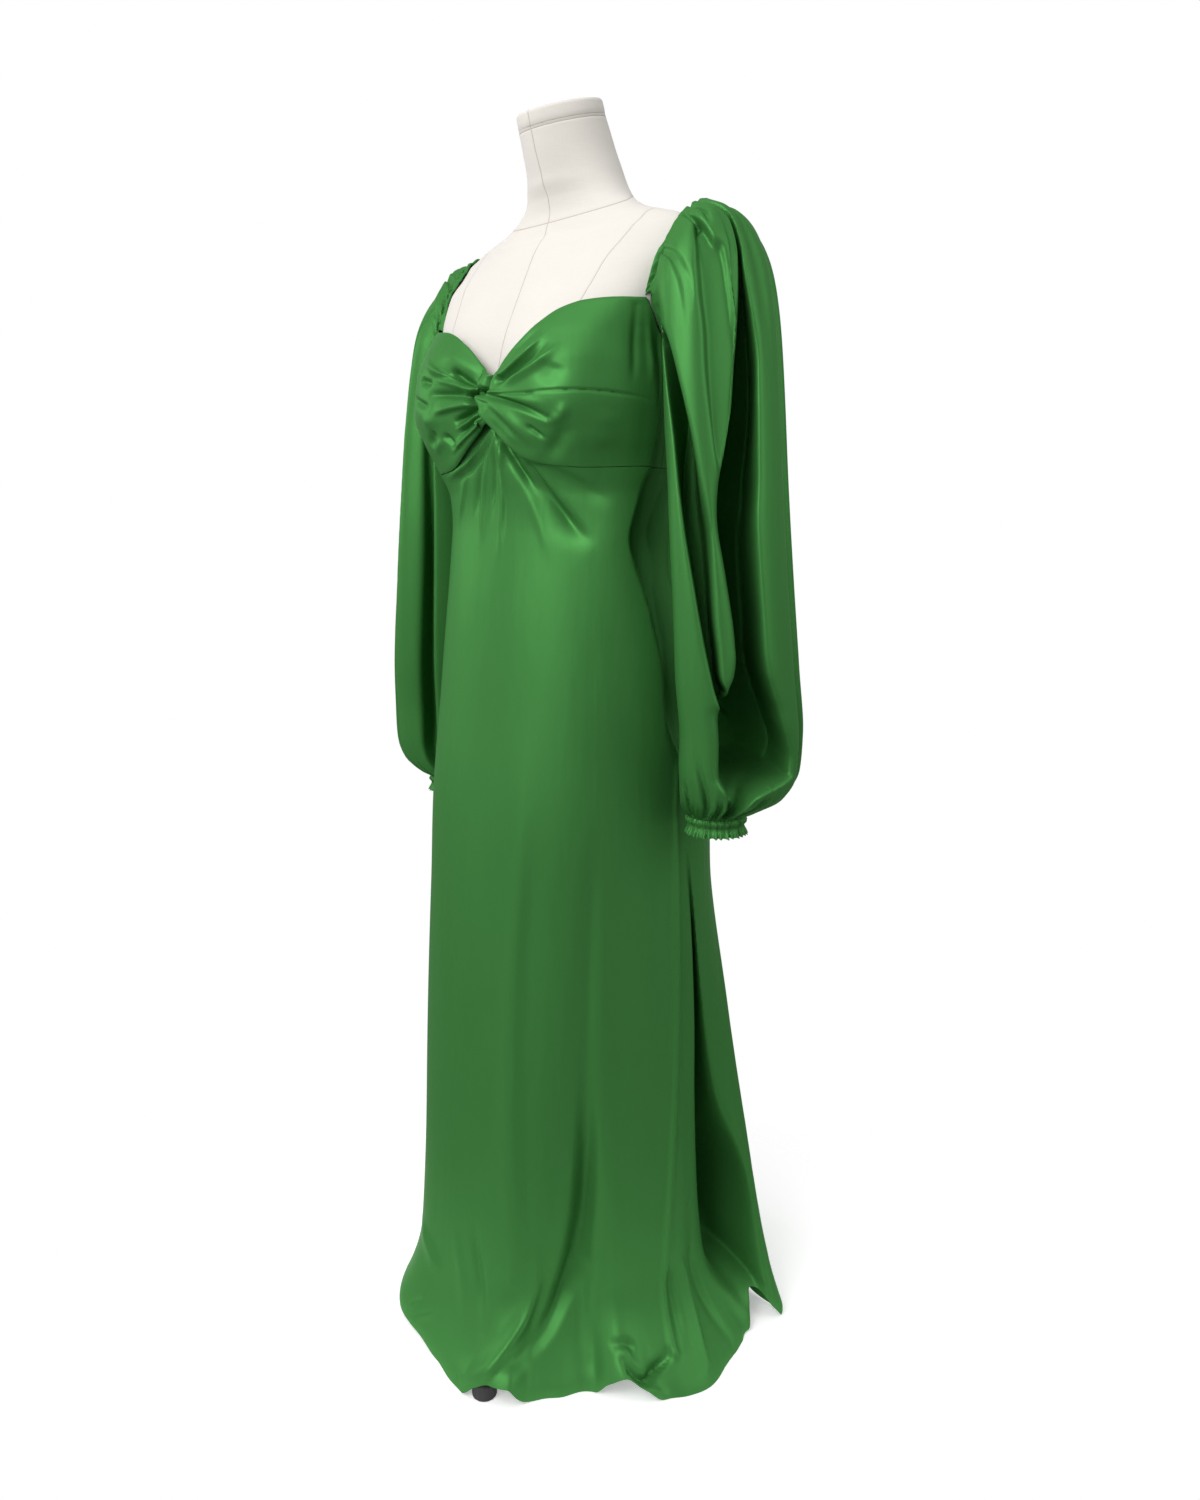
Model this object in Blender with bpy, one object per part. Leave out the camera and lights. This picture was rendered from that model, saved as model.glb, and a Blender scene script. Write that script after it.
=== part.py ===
"""Satin midi dress with a twist front and balloon sleeves, on a limbless dress form.

Metres, +Z up.  The origin is on the floor, on the axis of the stand's pole.  The front of
the dress faces -Y and the wearer's left is +X.  Every cloth piece is a thin wall worked out
from sections of the body, the armhole and the sleeve, and from tables of folds.
"""
import math

import bpy
import numpy as np

# ---------------------------------------------------------------- driving sizes
CLOTH = 0.0012            # wall of every cloth piece
SEAM_GAP = 0.0004         # space between neighbouring pieces at a seam
STEEP_GAP = 0.0008        # the same, measured upright where the seam is steep
FLOOR_CLEAR = 0.0006      # lowest point of the hem above the floor

UNDERBUST_Z = 0.888       # seam between bodice and skirt
KNOT_Z = 0.966            # centre of the twist
KNOT_RADIUS = 0.124       # from the pole's axis to the twist
KNOT_HALF_HEIGHT = 0.016
KNOT_HALF_WIDTH = 0.0075
KNOT_HALF_DEPTH = 0.0048
KNOT_TURN = 70            # degrees that the strand turns from its middle to each end
NECKLINE_Z = 1.054        # top of the bodice at its corners
UNDERARM_Z = 0.997
BACK_NECK_Z = 1.046
SIDE_SEAM = 88.0          # degrees from the front
SEAM_ANGLE = 0.1          # degrees from a side seam to each of its two edges
COLUMN_STEP = 6.5         # degrees between the columns of a front panel
BACK_COLUMNS = 27
ARMHOLE_HALF = 19.0       # degrees of body that the armhole spans either side of 90

CUFF_Z = 0.544
CUFF_HEIGHT = 0.017
CUFF_RADIUS = 0.0285
CUFF_COLUMNS = 18
DROP_FROM, DROP_OVER = 0.860, 0.260
RIGHT_OUT, RIGHT_DROP = 0.008, 0.022
CUFF_PROFILE = ((0, 0), (0.24, 0.0012), (0.50, 0.0005), (0.76, 0.0028), (1, 0.0050))
CASING_WIDTH = 0.009
CASING_THICK = 0.0024
CASING_CROWN = 0.0010     # rise of its middle over the elastic
CASING_ENDS = (7, 173)    # its turns at the front and the back corner

POLE_RADIUS = 0.0125
PLATE_RADIUS = 0.085
PLATE_THICK = 0.014
PLATE_EDGE = 0.002
COLLAR_RADIUS = 0.024     # socket that holds the pole
COLLAR_HEIGHT = 0.030
LEG_HALF_WIDTH = 0.010
LEG_LOW, LEG_HIGH = 0.004, 0.012
FOOT_RADIUS = 0.012
FOOT_REACH = 0.200
FOOT_HEIGHT = 0.017
LEG_ANGLES = (20.0, 140.0, 260.0)


# ---------------------------------------------------------------- tables
class Table:
    """Rows of named columns, read between the rows by a smooth curve without overshoot.

    The first column drives the others.  Each column is a monotone cubic: at a row the slope
    is the harmonic mean of its two neighbours' slopes, and zero at a turning point.
    """

    def __init__(self, columns, rows):
        self.names = columns.split()
        values = np.array(rows, float)
        self.values = values[np.argsort(values[:, 0])]

    def at(self, name, where):
        x = self.values[:, 0]
        y = self.values[:, self.names.index(name)]
        where = np.clip(np.asarray(where, float), x[0], x[-1])
        step = np.diff(x)
        slope = np.diff(y) / step
        tangent = np.zeros_like(y)
        same = slope[:-1] * slope[1:] > 0
        mean = 2 * slope[:-1] * slope[1:] / np.where(same, slope[:-1] + slope[1:], 1)
        tangent[1:-1] = np.where(same, mean, 0)
        tangent[0], tangent[-1] = slope[0], slope[-1]
        k = np.clip(np.searchsorted(x, where) - 1, 0, len(step) - 1)
        t = (where - x[k]) / step[k]
        return (y[k] * (1 + 2 * t) * (1 - t) ** 2 + tangent[k] * step[k] * t * (1 - t) ** 2
                + y[k + 1] * t * t * (3 - 2 * t) - tangent[k + 1] * step[k] * t * t * (1 - t))


# the dress form: sections of torso and neck
FORM = Table("z half_width front back centre_y squareness bust lean", [
    (0.540, 0.128, 0.112, 0.112, 0.000, 2.3, 0.000, 0.00),
    (0.600, 0.138, 0.122, 0.120, 0.000, 2.3, 0.000, 0.00),
    (0.660, 0.136, 0.120, 0.116, 0.000, 2.3, 0.000, 0.00),
    (0.730, 0.124, 0.110, 0.100, 0.000, 2.2, 0.000, 0.00),
    (0.800, 0.112, 0.096, 0.086, 0.000, 2.2, 0.000, 0.00),
    (0.850, 0.118, 0.098, 0.088, 0.000, 2.2, 0.000, 0.00),
    (0.888, 0.126, 0.102, 0.091, 0.000, 2.2, 0.008, 0.00),
    (0.920, 0.134, 0.105, 0.094, 0.000, 2.2, 0.022, 0.00),
    (0.955, 0.141, 0.107, 0.096, 0.000, 2.2, 0.034, 0.00),
    (0.990, 0.146, 0.107, 0.097, 0.000, 2.2, 0.027, 0.00),
    (1.020, 0.149, 0.101, 0.097, 0.000, 2.2, 0.014, 0.00),
    (1.055, 0.155, 0.089, 0.096, 0.000, 2.2, 0.004, 0.00),
    (1.090, 0.171, 0.070, 0.090, 0.000, 1.8, 0.000, 0.00),
    (1.120, 0.180, 0.054, 0.080, 0.000, 1.6, 0.000, 0.00),
    (1.136, 0.176, 0.047, 0.073, 0.000, 1.5, 0.000, 0.00),
    (1.147, 0.158, 0.042, 0.068, 0.000, 1.6, 0.000, 0.00),
    (1.168, 0.100, 0.040, 0.062, 0.004, 1.8, 0.000, 0.02),
    (1.188, 0.069, 0.044, 0.056, 0.006, 2.0, 0.000, 0.08),
    (1.212, 0.056, 0.050, 0.054, 0.003, 2.0, 0.000, 0.16),
    (1.240, 0.050, 0.050, 0.050, -0.005, 2.0, 0.000, 0.25),
    (1.272, 0.0475, 0.0475, 0.0475, -0.017, 2.0, 0.000, 0.30)])
NECK_CAP_HEIGHT = 0.017

# the dress before its folds: sections of bodice and skirt, hem to neckline
DRESS = Table("z half_width front back squareness bust", [
    (0.000, 0.163, 0.167, 0.190, 2.0, 0.000),
    (0.090, 0.161, 0.165, 0.180, 2.0, 0.000),
    (0.180, 0.160, 0.163, 0.168, 2.0, 0.000),
    (0.270, 0.159, 0.162, 0.158, 2.0, 0.000),
    (0.440, 0.156, 0.157, 0.145, 2.0, 0.000),
    (0.550, 0.153, 0.150, 0.139, 2.1, 0.000),
    (0.640, 0.149, 0.141, 0.131, 2.1, 0.000),
    (0.750, 0.142, 0.132, 0.116, 2.1, 0.000),
    (0.820, 0.138, 0.123, 0.104, 2.2, 0.000),
    (0.860, 0.138, 0.119, 0.100, 2.2, 0.006),
    (0.888, 0.140, 0.119, 0.099, 2.2, 0.014),
    (0.920, 0.145, 0.122, 0.101, 2.2, 0.024),
    (0.955, 0.149, 0.123, 0.103, 2.2, 0.033),
    (0.990, 0.152, 0.119, 0.104, 2.2, 0.027),
    (1.020, 0.155, 0.112, 0.104, 2.2, 0.016),
    (1.055, 0.162, 0.098, 0.103, 2.2, 0.008),
    (1.075, 0.168, 0.088, 0.101, 2.2, 0.004)])
BUST_ANGLE = 31.0         # degrees from the front to each bust point
BUST_WIDTH = 21.0
DRESS_BUST_WIDTH = 25.0

# seams and edges of the bodice, by angle from the front
FRONT_EDGES = Table("angle lower upper", [
    (-90.0, UNDERBUST_Z, NECKLINE_Z),
    (-71.0, UNDERBUST_Z, NECKLINE_Z),
    (-50.0, UNDERBUST_Z, 1.049),
    (-34.0, UNDERBUST_Z, 1.041),
    (-24.0, 0.892, 1.033),
    (-16.0, 0.903, 1.024),
    (-9.0, 0.924, 1.007),
    (-3.4, KNOT_Z - KNOT_HALF_HEIGHT, 0.986),
    (3.4, KNOT_Z - KNOT_HALF_HEIGHT, 0.984),
    (9.0, 0.926, 0.991),
    (16.0, 0.905, 1.005),
    (24.0, 0.893, 1.022),
    (34.0, UNDERBUST_Z, 1.042),
    (45.0, UNDERBUST_Z, 1.053),
    (56.0, UNDERBUST_Z, 1.057),
    (71.0, UNDERBUST_Z, NECKLINE_Z),
    (90.0, UNDERBUST_Z, NECKLINE_Z)])

# hem: how far it spreads past the skirt above it, and how high it lifts, all round
HEM = Table("angle spread lift", [
    (-180, 0.024, 0.000), (-150, 0.030, 0.004), (-130, 0.036, 0.000), (-112, 0.046, 0.004),
    (-106, 0.046, 0.019), (-94, 0.040, 0.019), (-86, 0.030, 0.002), (-75, 0.022, 0.000),
    (-50, 0.026, 0.004), (-30, 0.026, 0.004), (-12, 0.024, 0.003), (0, 0.036, 0.000),
    (10, 0.044, 0.006), (15, 0.042, 0.020), (25, 0.036, 0.020), (31, 0.034, 0.004),
    (40, 0.034, 0.000), (50, 0.036, 0.004), (60, 0.044, 0.012), (69, 0.056, 0.002),
    (80, 0.058, 0.000), (92, 0.058, 0.000), (100, 0.066, 0.000), (105, 0.060, 0.018),
    (109, 0.040, 0.028), (114, 0.018, 0.006), (119, 0.008, 0.000), (128, 0.020, 0.004),
    (135, 0.040, 0.019), (145, 0.040, 0.019), (152, 0.036, 0.002), (180, 0.024, 0.000)])
HEM_SPREAD_Z = 0.085

# large folds of the skirt: depth is out (+) or in (-) at the hem, fading upwards to "top"
SKIRT_FOLDS = Table("number angle_top angle_hem width_top width_hem top depth", [
    (1, 27, 21, 9, 11, 0.60, 0.007),
    (2, 46, 42, 8, 12, 0.46, -0.013),
    (3, 88, 83, 7, 8, 0.62, 0.009),
    (4, 99, 104, 7, 7, 0.50, -0.040),
    (5, 126, 117, 14, 9, 0.52, 0.052),
    (6, 150, 152, 10, 12, 0.42, -0.016),
    (7, 178, 174, 12, 13, 0.50, 0.010),
    (8, -152, -150, 10, 11, 0.40, -0.014),
    (9, -126, -122, 11, 13, 0.50, 0.026),
    (10, -99, -98, 8, 9, 0.42, -0.024),
    (11, -80, -74, 9, 10, 0.44, 0.012),
    (12, -52, -54, 10, 11, 0.34, -0.009),
    (13, -22, -26, 9, 12, 0.26, 0.008)])

# gathers that spread from the twist: direction in degrees, 0 towards the side, 90 up
TWIST_FOLDS = {
    "left": Table("direction width reach height", [
        (-52, 9, 0.070, -0.0030), (-33, 10, 0.080, 0.0030), (-14, 6, 0.060, -0.0040),
        (6, 8, 0.055, 0.0020), (24, 5, 0.060, -0.0035), (36, 5, 0.085, 0.0030)]),
    "right": Table("direction width reach height", [
        (-60, 7, 0.065, 0.0035), (-44, 6, 0.060, -0.0035), (-20, 8, 0.060, 0.0025),
        (2, 6, 0.050, -0.0040), (18, 5, 0.070, 0.0035), (34, 7, 0.055, -0.0030)])}
SKIRT_TWIST_FOLDS = Table("direction width reach height", [
    (-112, 5, 0.110, 0.0030), (-100, 5, 0.090, -0.0030), (-86, 5, 0.130, 0.0035),
    (-70, 6, 0.110, -0.0020), (-57, 6, 0.150, -0.0070), (-40, 7, 0.120, 0.0030)])

# the left sleeve: a ring for each row, between its outer and its inner line
CUFF_X = 0.200
SLEEVE = Table("ring outer_x outer_z inner_x inner_z centre_y half_depth pleat", [
    (1, 0.192, 1.1540, 0.1635, 0.9995, 0.002, 0.0640, 0.10),
    (2, 0.218, 1.1420, 0.1660, 0.9930, 0.002, 0.0720, 0.30),
    (3, 0.237, 1.1050, 0.1675, 0.9750, 0.003, 0.0770, 0.60),
    (4, 0.247, 1.0450, 0.1665, 0.9450, 0.004, 0.0800, 0.85),
    (5, 0.253, 0.9600, 0.1650, 0.9000, 0.004, 0.0820, 1.00),
    (6, 0.258, 0.8700, 0.1640, 0.8350, 0.004, 0.0820, 1.00),
    (7, 0.264, 0.7750, 0.1650, 0.7600, 0.005, 0.0810, 1.00),
    (8, 0.270, 0.6900, 0.1670, 0.6850, 0.007, 0.0790, 1.00),
    (9, 0.274, 0.6250, 0.1700, 0.6250, 0.011, 0.0750, 1.00),
    (10, 0.272, 0.5860, 0.1700, 0.5920, 0.011, 0.0710, 0.95),
    (11, 0.261, 0.5630, 0.1695, 0.5680, 0.008, 0.0600, 0.80),
    (12, 0.242, 0.5510, 0.1700, 0.5530, 0.003, 0.0430, 0.50),
    (13, CUFF_X + CUFF_RADIUS, CUFF_Z, CUFF_X - CUFF_RADIUS, CUFF_Z, 0.000, CUFF_RADIUS, 0.00)])

# troughs of the sleeve: angle round the ring, 0 front, 90 outer, 180 back, 270 inner
SLEEVE_FOLDS = Table("number angle_top angle_low width_top width_low depth_top depth_low", [
    (1, 8, 16, 6, 6, 0.30, 0.34),
    (2, 58, 68, 6, 15, 0.30, 0.56),
    (3, 108, 116, 8, 9, 0.26, 0.30),
    (4, 150, 160, 9, 11, 0.30, 0.42),
    (5, 198, 204, 8, 9, 0.22, 0.28),
    (6, 244, 246, 10, 10, 0.14, 0.22),
    (7, 292, 286, 8, 9, 0.20, 0.28)])

# the elastic neck edge over the left shoulder, front corner to back corner
CASING = Table("turn x y z", [
    (0, 0.1545, -0.0545, NECKLINE_Z + 0.0010),
    (45, 0.1500, -0.0330, 1.1010),
    (90, 0.1575, 0.0000, 1.1500),
    (135, 0.1500, 0.0390, 1.1060),
    (180, 0.1545, 0.0610, NECKLINE_Z + 0.0010)])
CASING_CLEAR = 0.0045      # the edge's outside above the form
CORNER_SPREAD = 0.10
SHOULDER_SLOPE = 0.34
SHOULDER_Y, SHOULDER_Z = 0.004, 1.095   # middle of the shoulder, inside the form
TROUGH_SIDE = 1.3          # half the mouth of a sleeve's trough, in its widths


# ---------------------------------------------------------------- shapes as functions
def polar(angle, radius, z):
    """Points at an angle from the front (degrees, + towards the wearer's left)."""
    a = np.radians(angle)
    return np.stack([radius * np.sin(a), -radius * np.cos(a), z + 0 * radius], -1)


def bell(x):
    return np.exp(-np.square(x))


def section_radius(table, angle, z, bust_width):
    """Superellipse of half width by front or back depth, plus two bust bells."""
    a = np.radians(angle)
    n = table.at("squareness", z)
    depth = np.where(np.cos(a) > 0, table.at("front", z), table.at("back", z))
    across = np.abs(np.sin(a)) / table.at("half_width", z)
    base = (across ** n + (np.abs(np.cos(a)) / depth) ** n) ** (-1 / n)
    off = (np.abs((angle + 180) % 360 - 180) - BUST_ANGLE) / bust_width
    return base + table.at("bust", z) * bell(off)


def turn_to(angle, target):
    """Signed degrees from target to angle, between -180 and 180."""
    return (angle - target + 180) % 360 - 180


def hem_value(name, angle):
    return HEM.at(name, turn_to(angle, 0))


def skirt_folds(angle, z):
    """Sum of the fold bells, each deepening as a power of its way down to the hem."""
    total = np.zeros(np.broadcast(angle, z).shape)
    for number, top_at, hem_at, top_width, hem_width, top, depth in SKIRT_FOLDS.values:
        way = np.clip(1 - z / top, 0, 1)
        centre = top_at + (hem_at - top_at) * way
        width = top_width + (hem_width - top_width) * way
        total += depth * way ** 1.6 * bell(turn_to(angle, centre) / width)
    return total


def twist_gathers(table, side, angle, z, radius):
    """Ridges and troughs that fan out from the twist, fading with distance."""
    along = radius * np.radians(turn_to(angle, 0)) * side
    rise = z - KNOT_Z
    distance = np.hypot(along, rise)
    direction = np.degrees(np.arctan2(rise, along))
    total = np.zeros(np.broadcast(angle, z).shape)
    for toward, width, reach, height in table.values:
        fade = np.clip(1 - distance / reach, 0, 1) * np.clip(distance / 0.02, 0, 1)
        total += height * fade * bell(turn_to(direction, toward) / width)
    return total


def dress_radius(angle, z):
    """Bodice and skirt, before the gathers of the twist."""
    radius = section_radius(DRESS, angle, z, DRESS_BUST_WIDTH)
    spread = np.clip(1 - z / HEM_SPREAD_Z, 0, 1) ** 2
    return radius + skirt_folds(angle, z) + hem_value("spread", angle) * spread


def front_edge(name, angle):
    return FRONT_EDGES.at(name, turn_to(angle, 0))


def bodice_top(angle):
    """Neckline of the front, straight back, and the armhole as a parabola between."""
    off = np.abs(np.abs(turn_to(angle, 0)) - 90)
    armhole = UNDERARM_Z + (NECKLINE_Z - UNDERARM_Z) * (off / ARMHOLE_HALF) ** 2
    is_front = np.abs(turn_to(angle, 0)) < 90
    back_dip = (NECKLINE_Z - BACK_NECK_Z) * np.clip((off - ARMHOLE_HALF) / 30, 0, 1)
    edge = np.where(is_front, front_edge("upper", angle), NECKLINE_Z - back_dip)
    return np.where(off < ARMHOLE_HALF, np.minimum(armhole, edge), edge)


# ---------------------------------------------------------------- mesh making
def material(name, colour, roughness, metallic=0.0):
    made = bpy.data.materials.new(name)
    made.use_nodes = True
    shader = made.node_tree.nodes["Principled BSDF"]
    shader.inputs["Base Color"].default_value = (*colour, 1)
    shader.inputs["Roughness"].default_value = roughness
    shader.inputs["Metallic"].default_value = metallic
    made.diffuse_color = (*colour, 1)
    return made


def add_object(name, points, faces, finish):
    mesh = bpy.data.meshes.new(name)
    mesh.from_pydata([tuple(p) for p in points], [], faces)
    mesh.validate()
    mesh.materials.append(finish)
    mesh.shade_smooth()
    mesh.set_sharp_from_angle(angle=math.radians(50))
    piece = bpy.data.objects.new(name, mesh)
    bpy.context.scene.collection.objects.link(piece)
    return piece


def grid_normals(grid, closed):
    """Unit normals of a grid whose rows run down and whose columns run left round."""
    down = np.gradient(grid, axis=0)
    if closed:
        round_about = np.roll(grid, -1, 1) - np.roll(grid, 1, 1)
    else:
        round_about = np.gradient(grid, axis=1)
    normal = np.cross(down, round_about)
    return normal / np.linalg.norm(normal, axis=-1, keepdims=True)


def add_wall(name, grid, finish, thickness=CLOTH, closed=False, flat_ends=False,
             level_rows=()):
    """A sheet given as a grid of outer points, thickened inwards and closed at its rims.

    flat_ends keeps the first and last columns' thickness in their own radial plane, and
    level_rows keeps that of the named rows level, so that neighbours meet face to face.
    """
    normal = grid_normals(grid, closed)
    if flat_ends:
        for column in (0, -1):
            radial = grid[:, column] * (1, 1, 0)
            radial /= np.linalg.norm(radial, axis=-1, keepdims=True)
            across = np.stack([-radial[:, 1], radial[:, 0], 0 * radial[:, 0]], -1)
            turned = normal[:, column]
            turned = turned - across * np.sum(turned * across, -1, keepdims=True)
            normal[:, column] = turned / np.linalg.norm(turned, axis=-1, keepdims=True)
    for row in level_rows:
        normal[row, :, 2] = 0
        normal[row] /= np.linalg.norm(normal[row], axis=-1, keepdims=True)
    inner = grid - normal * thickness
    rows, columns = grid.shape[:2]
    points = np.concatenate([grid.reshape(-1, 3), inner.reshape(-1, 3)])
    skin = rows * columns

    def out(i, j):
        return i * columns + j % columns

    def back(i, j):
        return skin + out(i, j)

    faces = []
    spans = columns if closed else columns - 1
    for i in range(rows - 1):
        for j in range(spans):
            faces.append((out(i, j), out(i + 1, j), out(i + 1, j + 1), out(i, j + 1)))
            faces.append((back(i, j), back(i, j + 1), back(i + 1, j + 1), back(i + 1, j)))
    for j in range(spans):
        faces.append((out(0, j), out(0, j + 1), back(0, j + 1), back(0, j)))
        low = rows - 1
        faces.append((out(low, j + 1), out(low, j), back(low, j), back(low, j + 1)))
    if not closed:
        last = columns - 1
        for i in range(rows - 1):
            faces.append((out(i + 1, 0), out(i, 0), back(i, 0), back(i + 1, 0)))
            faces.append((out(i, last), out(i + 1, last), back(i + 1, last), back(i, last)))
    return add_object(name, points, faces, finish)


def add_stack(name, rings, finish):
    """A closed solid through rings of points, bottom to top, with flat ends."""
    rings = np.asarray(rings)
    count, around = rings.shape[:2]
    faces = [tuple(range(around))[::-1]]
    for i in range(count - 1):
        for j in range(around):
            k = (j + 1) % around
            faces.append((i * around + j, i * around + k,
                          (i + 1) * around + k, (i + 1) * around + j))
    faces.append(tuple((count - 1) * around + j for j in range(around)))
    return add_object(name, rings.reshape(-1, 3), faces, finish)


def mirrored(grid):
    """The same grid on the wearer's right, its columns turned so that it faces out."""
    return (grid * (-1, 1, 1))[:, ::-1]


def lowered(grid):
    """The wearer's right sleeve: it hangs lower and further out towards its cuff."""
    share = np.clip((DROP_FROM - grid[..., 2:]) / DROP_OVER, 0, 1)
    return grid + share * share * (3 - 2 * share) * np.array([-RIGHT_OUT, 0, -RIGHT_DROP])


# ---------------------------------------------------------------- dress form and stand
def form_ring(z, grow=0.0, around=40):
    angle = np.arange(around) * 360 / around
    radius = section_radius(FORM, angle, np.full(around, z), BUST_WIDTH) + grow
    ring = polar(angle, radius, np.full(around, z))
    ring[:, 2] += ring[:, 1] * FORM.at("lean", z)
    ring[:, 1] += FORM.at("centre_y", z)
    return ring


def build_form(linen, steel, rubber):
    top = FORM.values[-1, 0]
    heights = [0.540, 0.555, 0.600, 0.650, 0.700, 0.760, 0.810, 0.850, 0.888, 0.915, 0.940,
               0.960, 0.985, 1.010, 1.040, 1.070, 1.098, 1.120, 1.136, 1.147, 1.158, 1.172,
               1.188, 1.212, 1.240, top]
    rings = [form_ring(z) for z in heights]
    rings[0] = form_ring(heights[0], grow=-0.012)
    add_stack("form_torso", rings, linen)

    seat = form_ring(top) + (0, 0, SEAM_GAP)
    middle = seat.mean(axis=0)
    lean = FORM.at("lean", top)
    axis = np.array([0, -lean, 1]) / math.hypot(1, lean)
    crown = [seat + axis * rise + (middle - seat) * pull for rise, pull in
             ((0, 0.0), (NECK_CAP_HEIGHT - 0.003, 0.01), (NECK_CAP_HEIGHT, 0.06),
              (NECK_CAP_HEIGHT + 0.003, 0.5))]
    add_stack("form_neck_cap", crown, linen)

    def disc(radius, z, around=24, x=0.0, y=0.0):
        angle = np.arange(around) * 360 / around
        return polar(angle, np.full(around, radius), np.full(around, z)) + (x, y, 0)

    def turned(name, profile, finish, around=24, x=0.0, y=0.0):
        add_stack(name, [disc(radius, z, around, x, y) for radius, z in profile], finish)

    turned("stand_plate", [(PLATE_RADIUS - PLATE_EDGE, 0), (PLATE_RADIUS, PLATE_EDGE),
                           (PLATE_RADIUS, PLATE_THICK - PLATE_EDGE),
                           (PLATE_RADIUS - PLATE_EDGE, PLATE_THICK)], steel, around=32)
    pole_foot = PLATE_THICK + SEAM_GAP
    collar_top = pole_foot + COLLAR_HEIGHT
    turned("stand_pole", [(COLLAR_RADIUS, pole_foot), (COLLAR_RADIUS, collar_top),
                          (POLE_RADIUS, collar_top + 0.004),
                          (POLE_RADIUS, FORM.values[0, 0] - SEAM_GAP)], steel)

    # three flat legs, each from the plate's rim to its round foot
    corners = [(-LEG_HALF_WIDTH, LEG_LOW), (LEG_HALF_WIDTH, LEG_LOW),
               (LEG_HALF_WIDTH, LEG_HIGH), (-LEG_HALF_WIDTH, LEG_HIGH)]
    reach = FOOT_REACH - FOOT_RADIUS - SEAM_GAP
    start = PLATE_RADIUS + SEAM_GAP
    for name, angle in zip(("front", "back_left", "back_right"), LEG_ANGLES):
        turn = math.radians(angle)
        out = np.array([math.sin(turn), -math.cos(turn), 0])
        side = np.array([-out[1], out[0], 0])
        ends = [[out * r + side * w + (0, 0, z) for w, z in corners] for r in (start, reach)]
        faces = [(0, 3, 2, 1), (4, 5, 6, 7), (0, 1, 5, 4), (1, 2, 6, 5), (2, 3, 7, 6),
                 (3, 0, 4, 7)]
        add_object(f"stand_leg_{name}", np.concatenate(ends), faces, steel)
        foot = out * FOOT_REACH
        turned(f"stand_foot_{name}", [(FOOT_RADIUS - 0.001, 0), (FOOT_RADIUS, 0.001),
                                      (FOOT_RADIUS, FOOT_HEIGHT - 0.004),
                                      (FOOT_RADIUS - 0.004, FOOT_HEIGHT)],
               rubber, around=16, x=foot[0], y=foot[1])


# ---------------------------------------------------------------- bodice
def front_columns():
    """Angles from the twist's edge to the side seam."""
    start = math.degrees(KNOT_HALF_WIDTH / KNOT_RADIUS)
    steps = np.arange(9, SIDE_SEAM - COLUMN_STEP / 2, COLUMN_STEP)
    return np.concatenate([[start], steps, [SIDE_SEAM - SEAM_ANGLE]])


def back_columns():
    """Angles from the left side seam round the back to the right one."""
    return np.linspace(SIDE_SEAM + SEAM_ANGLE, 360 - SIDE_SEAM - SEAM_ANGLE, BACK_COLUMNS)


def add_front(side, satin):
    """One front half, from the twist to the side seam."""
    sign = 1 if side == "left" else -1
    angle = sign * front_columns()[::sign]
    down = np.linspace(0, 1, 11)[:, None]
    top = bodice_top(angle)
    low = front_edge("lower", angle) + STEEP_GAP
    z = top + (low - top) * down
    angle = angle + 0 * z
    radius = dress_radius(angle, z)
    radius = radius + twist_gathers(TWIST_FOLDS[side], sign, angle, z, radius)
    add_wall(f"bodice_front_{side}", polar(angle, radius, z), satin, flat_ends=True,
             level_rows=(0, -1))


def add_bodice_back(satin):
    angle = back_columns()
    down = np.linspace(0, 1, 7)[:, None]
    top = bodice_top(angle)
    z = top + (UNDERBUST_Z + SEAM_GAP - top) * down
    angle = angle + 0 * z
    add_wall("bodice_back", polar(angle, dress_radius(angle, z), z), satin, flat_ends=True,
             level_rows=(0, -1))


def add_twist(satin):
    """The strand where the fronts loop through each other: a short roll with a half turn."""
    steps, around = 9, 14
    rise = np.linspace(-1, 1, steps)
    front = dress_radius(np.zeros(steps), KNOT_Z + rise * KNOT_HALF_HEIGHT)
    rings = []
    for t, reach in zip(rise, front):
        turn = np.radians(np.arange(around) * 360 / around + KNOT_TURN * t)
        swell = math.sqrt(1 - (0.82 * t) ** 2)
        flatten = (1 + 0.10 * np.cos(2 * turn)) / 1.10
        x = (KNOT_HALF_WIDTH - SEAM_GAP) * swell * np.cos(turn) * flatten
        y = -reach - CLOTH + KNOT_HALF_DEPTH * swell * np.sin(turn)
        z = KNOT_Z + t * (KNOT_HALF_HEIGHT - SEAM_GAP)
        rings.append(np.stack([x, y, np.full(around, z)], -1))
    add_stack("twist_knot", rings, satin)


# ---------------------------------------------------------------- skirt
SKIRT_ROWS = (0.0, 0.05, 0.11, 0.19, 0.29, 0.41, 0.53, 0.64, 0.74, 0.82, 0.88, 0.925, 0.955,
              0.978, 1.0)


def skirt_grid(angle, top):
    """Rows from the waist seam to the hem, straight down each column."""
    down = np.array(SKIRT_ROWS)[:, None]
    hem = FLOOR_CLEAR + hem_value("lift", angle)
    z = top + (hem - top) * down
    angle = angle + 0 * z
    radius = dress_radius(angle, z)
    radius = radius + twist_gathers(SKIRT_TWIST_FOLDS, 1, angle, z, radius)
    return polar(angle, radius, z)


def add_skirt(satin):
    away = front_columns()
    angle = np.concatenate([-away[::-1], away])
    add_wall("skirt_front", skirt_grid(angle, front_edge("lower", angle)), satin,
             flat_ends=True, level_rows=(0,))
    angle = back_columns()
    add_wall("skirt_back", skirt_grid(angle, UNDERBUST_Z + 0 * angle), satin,
             flat_ends=True, level_rows=(0,))


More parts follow.
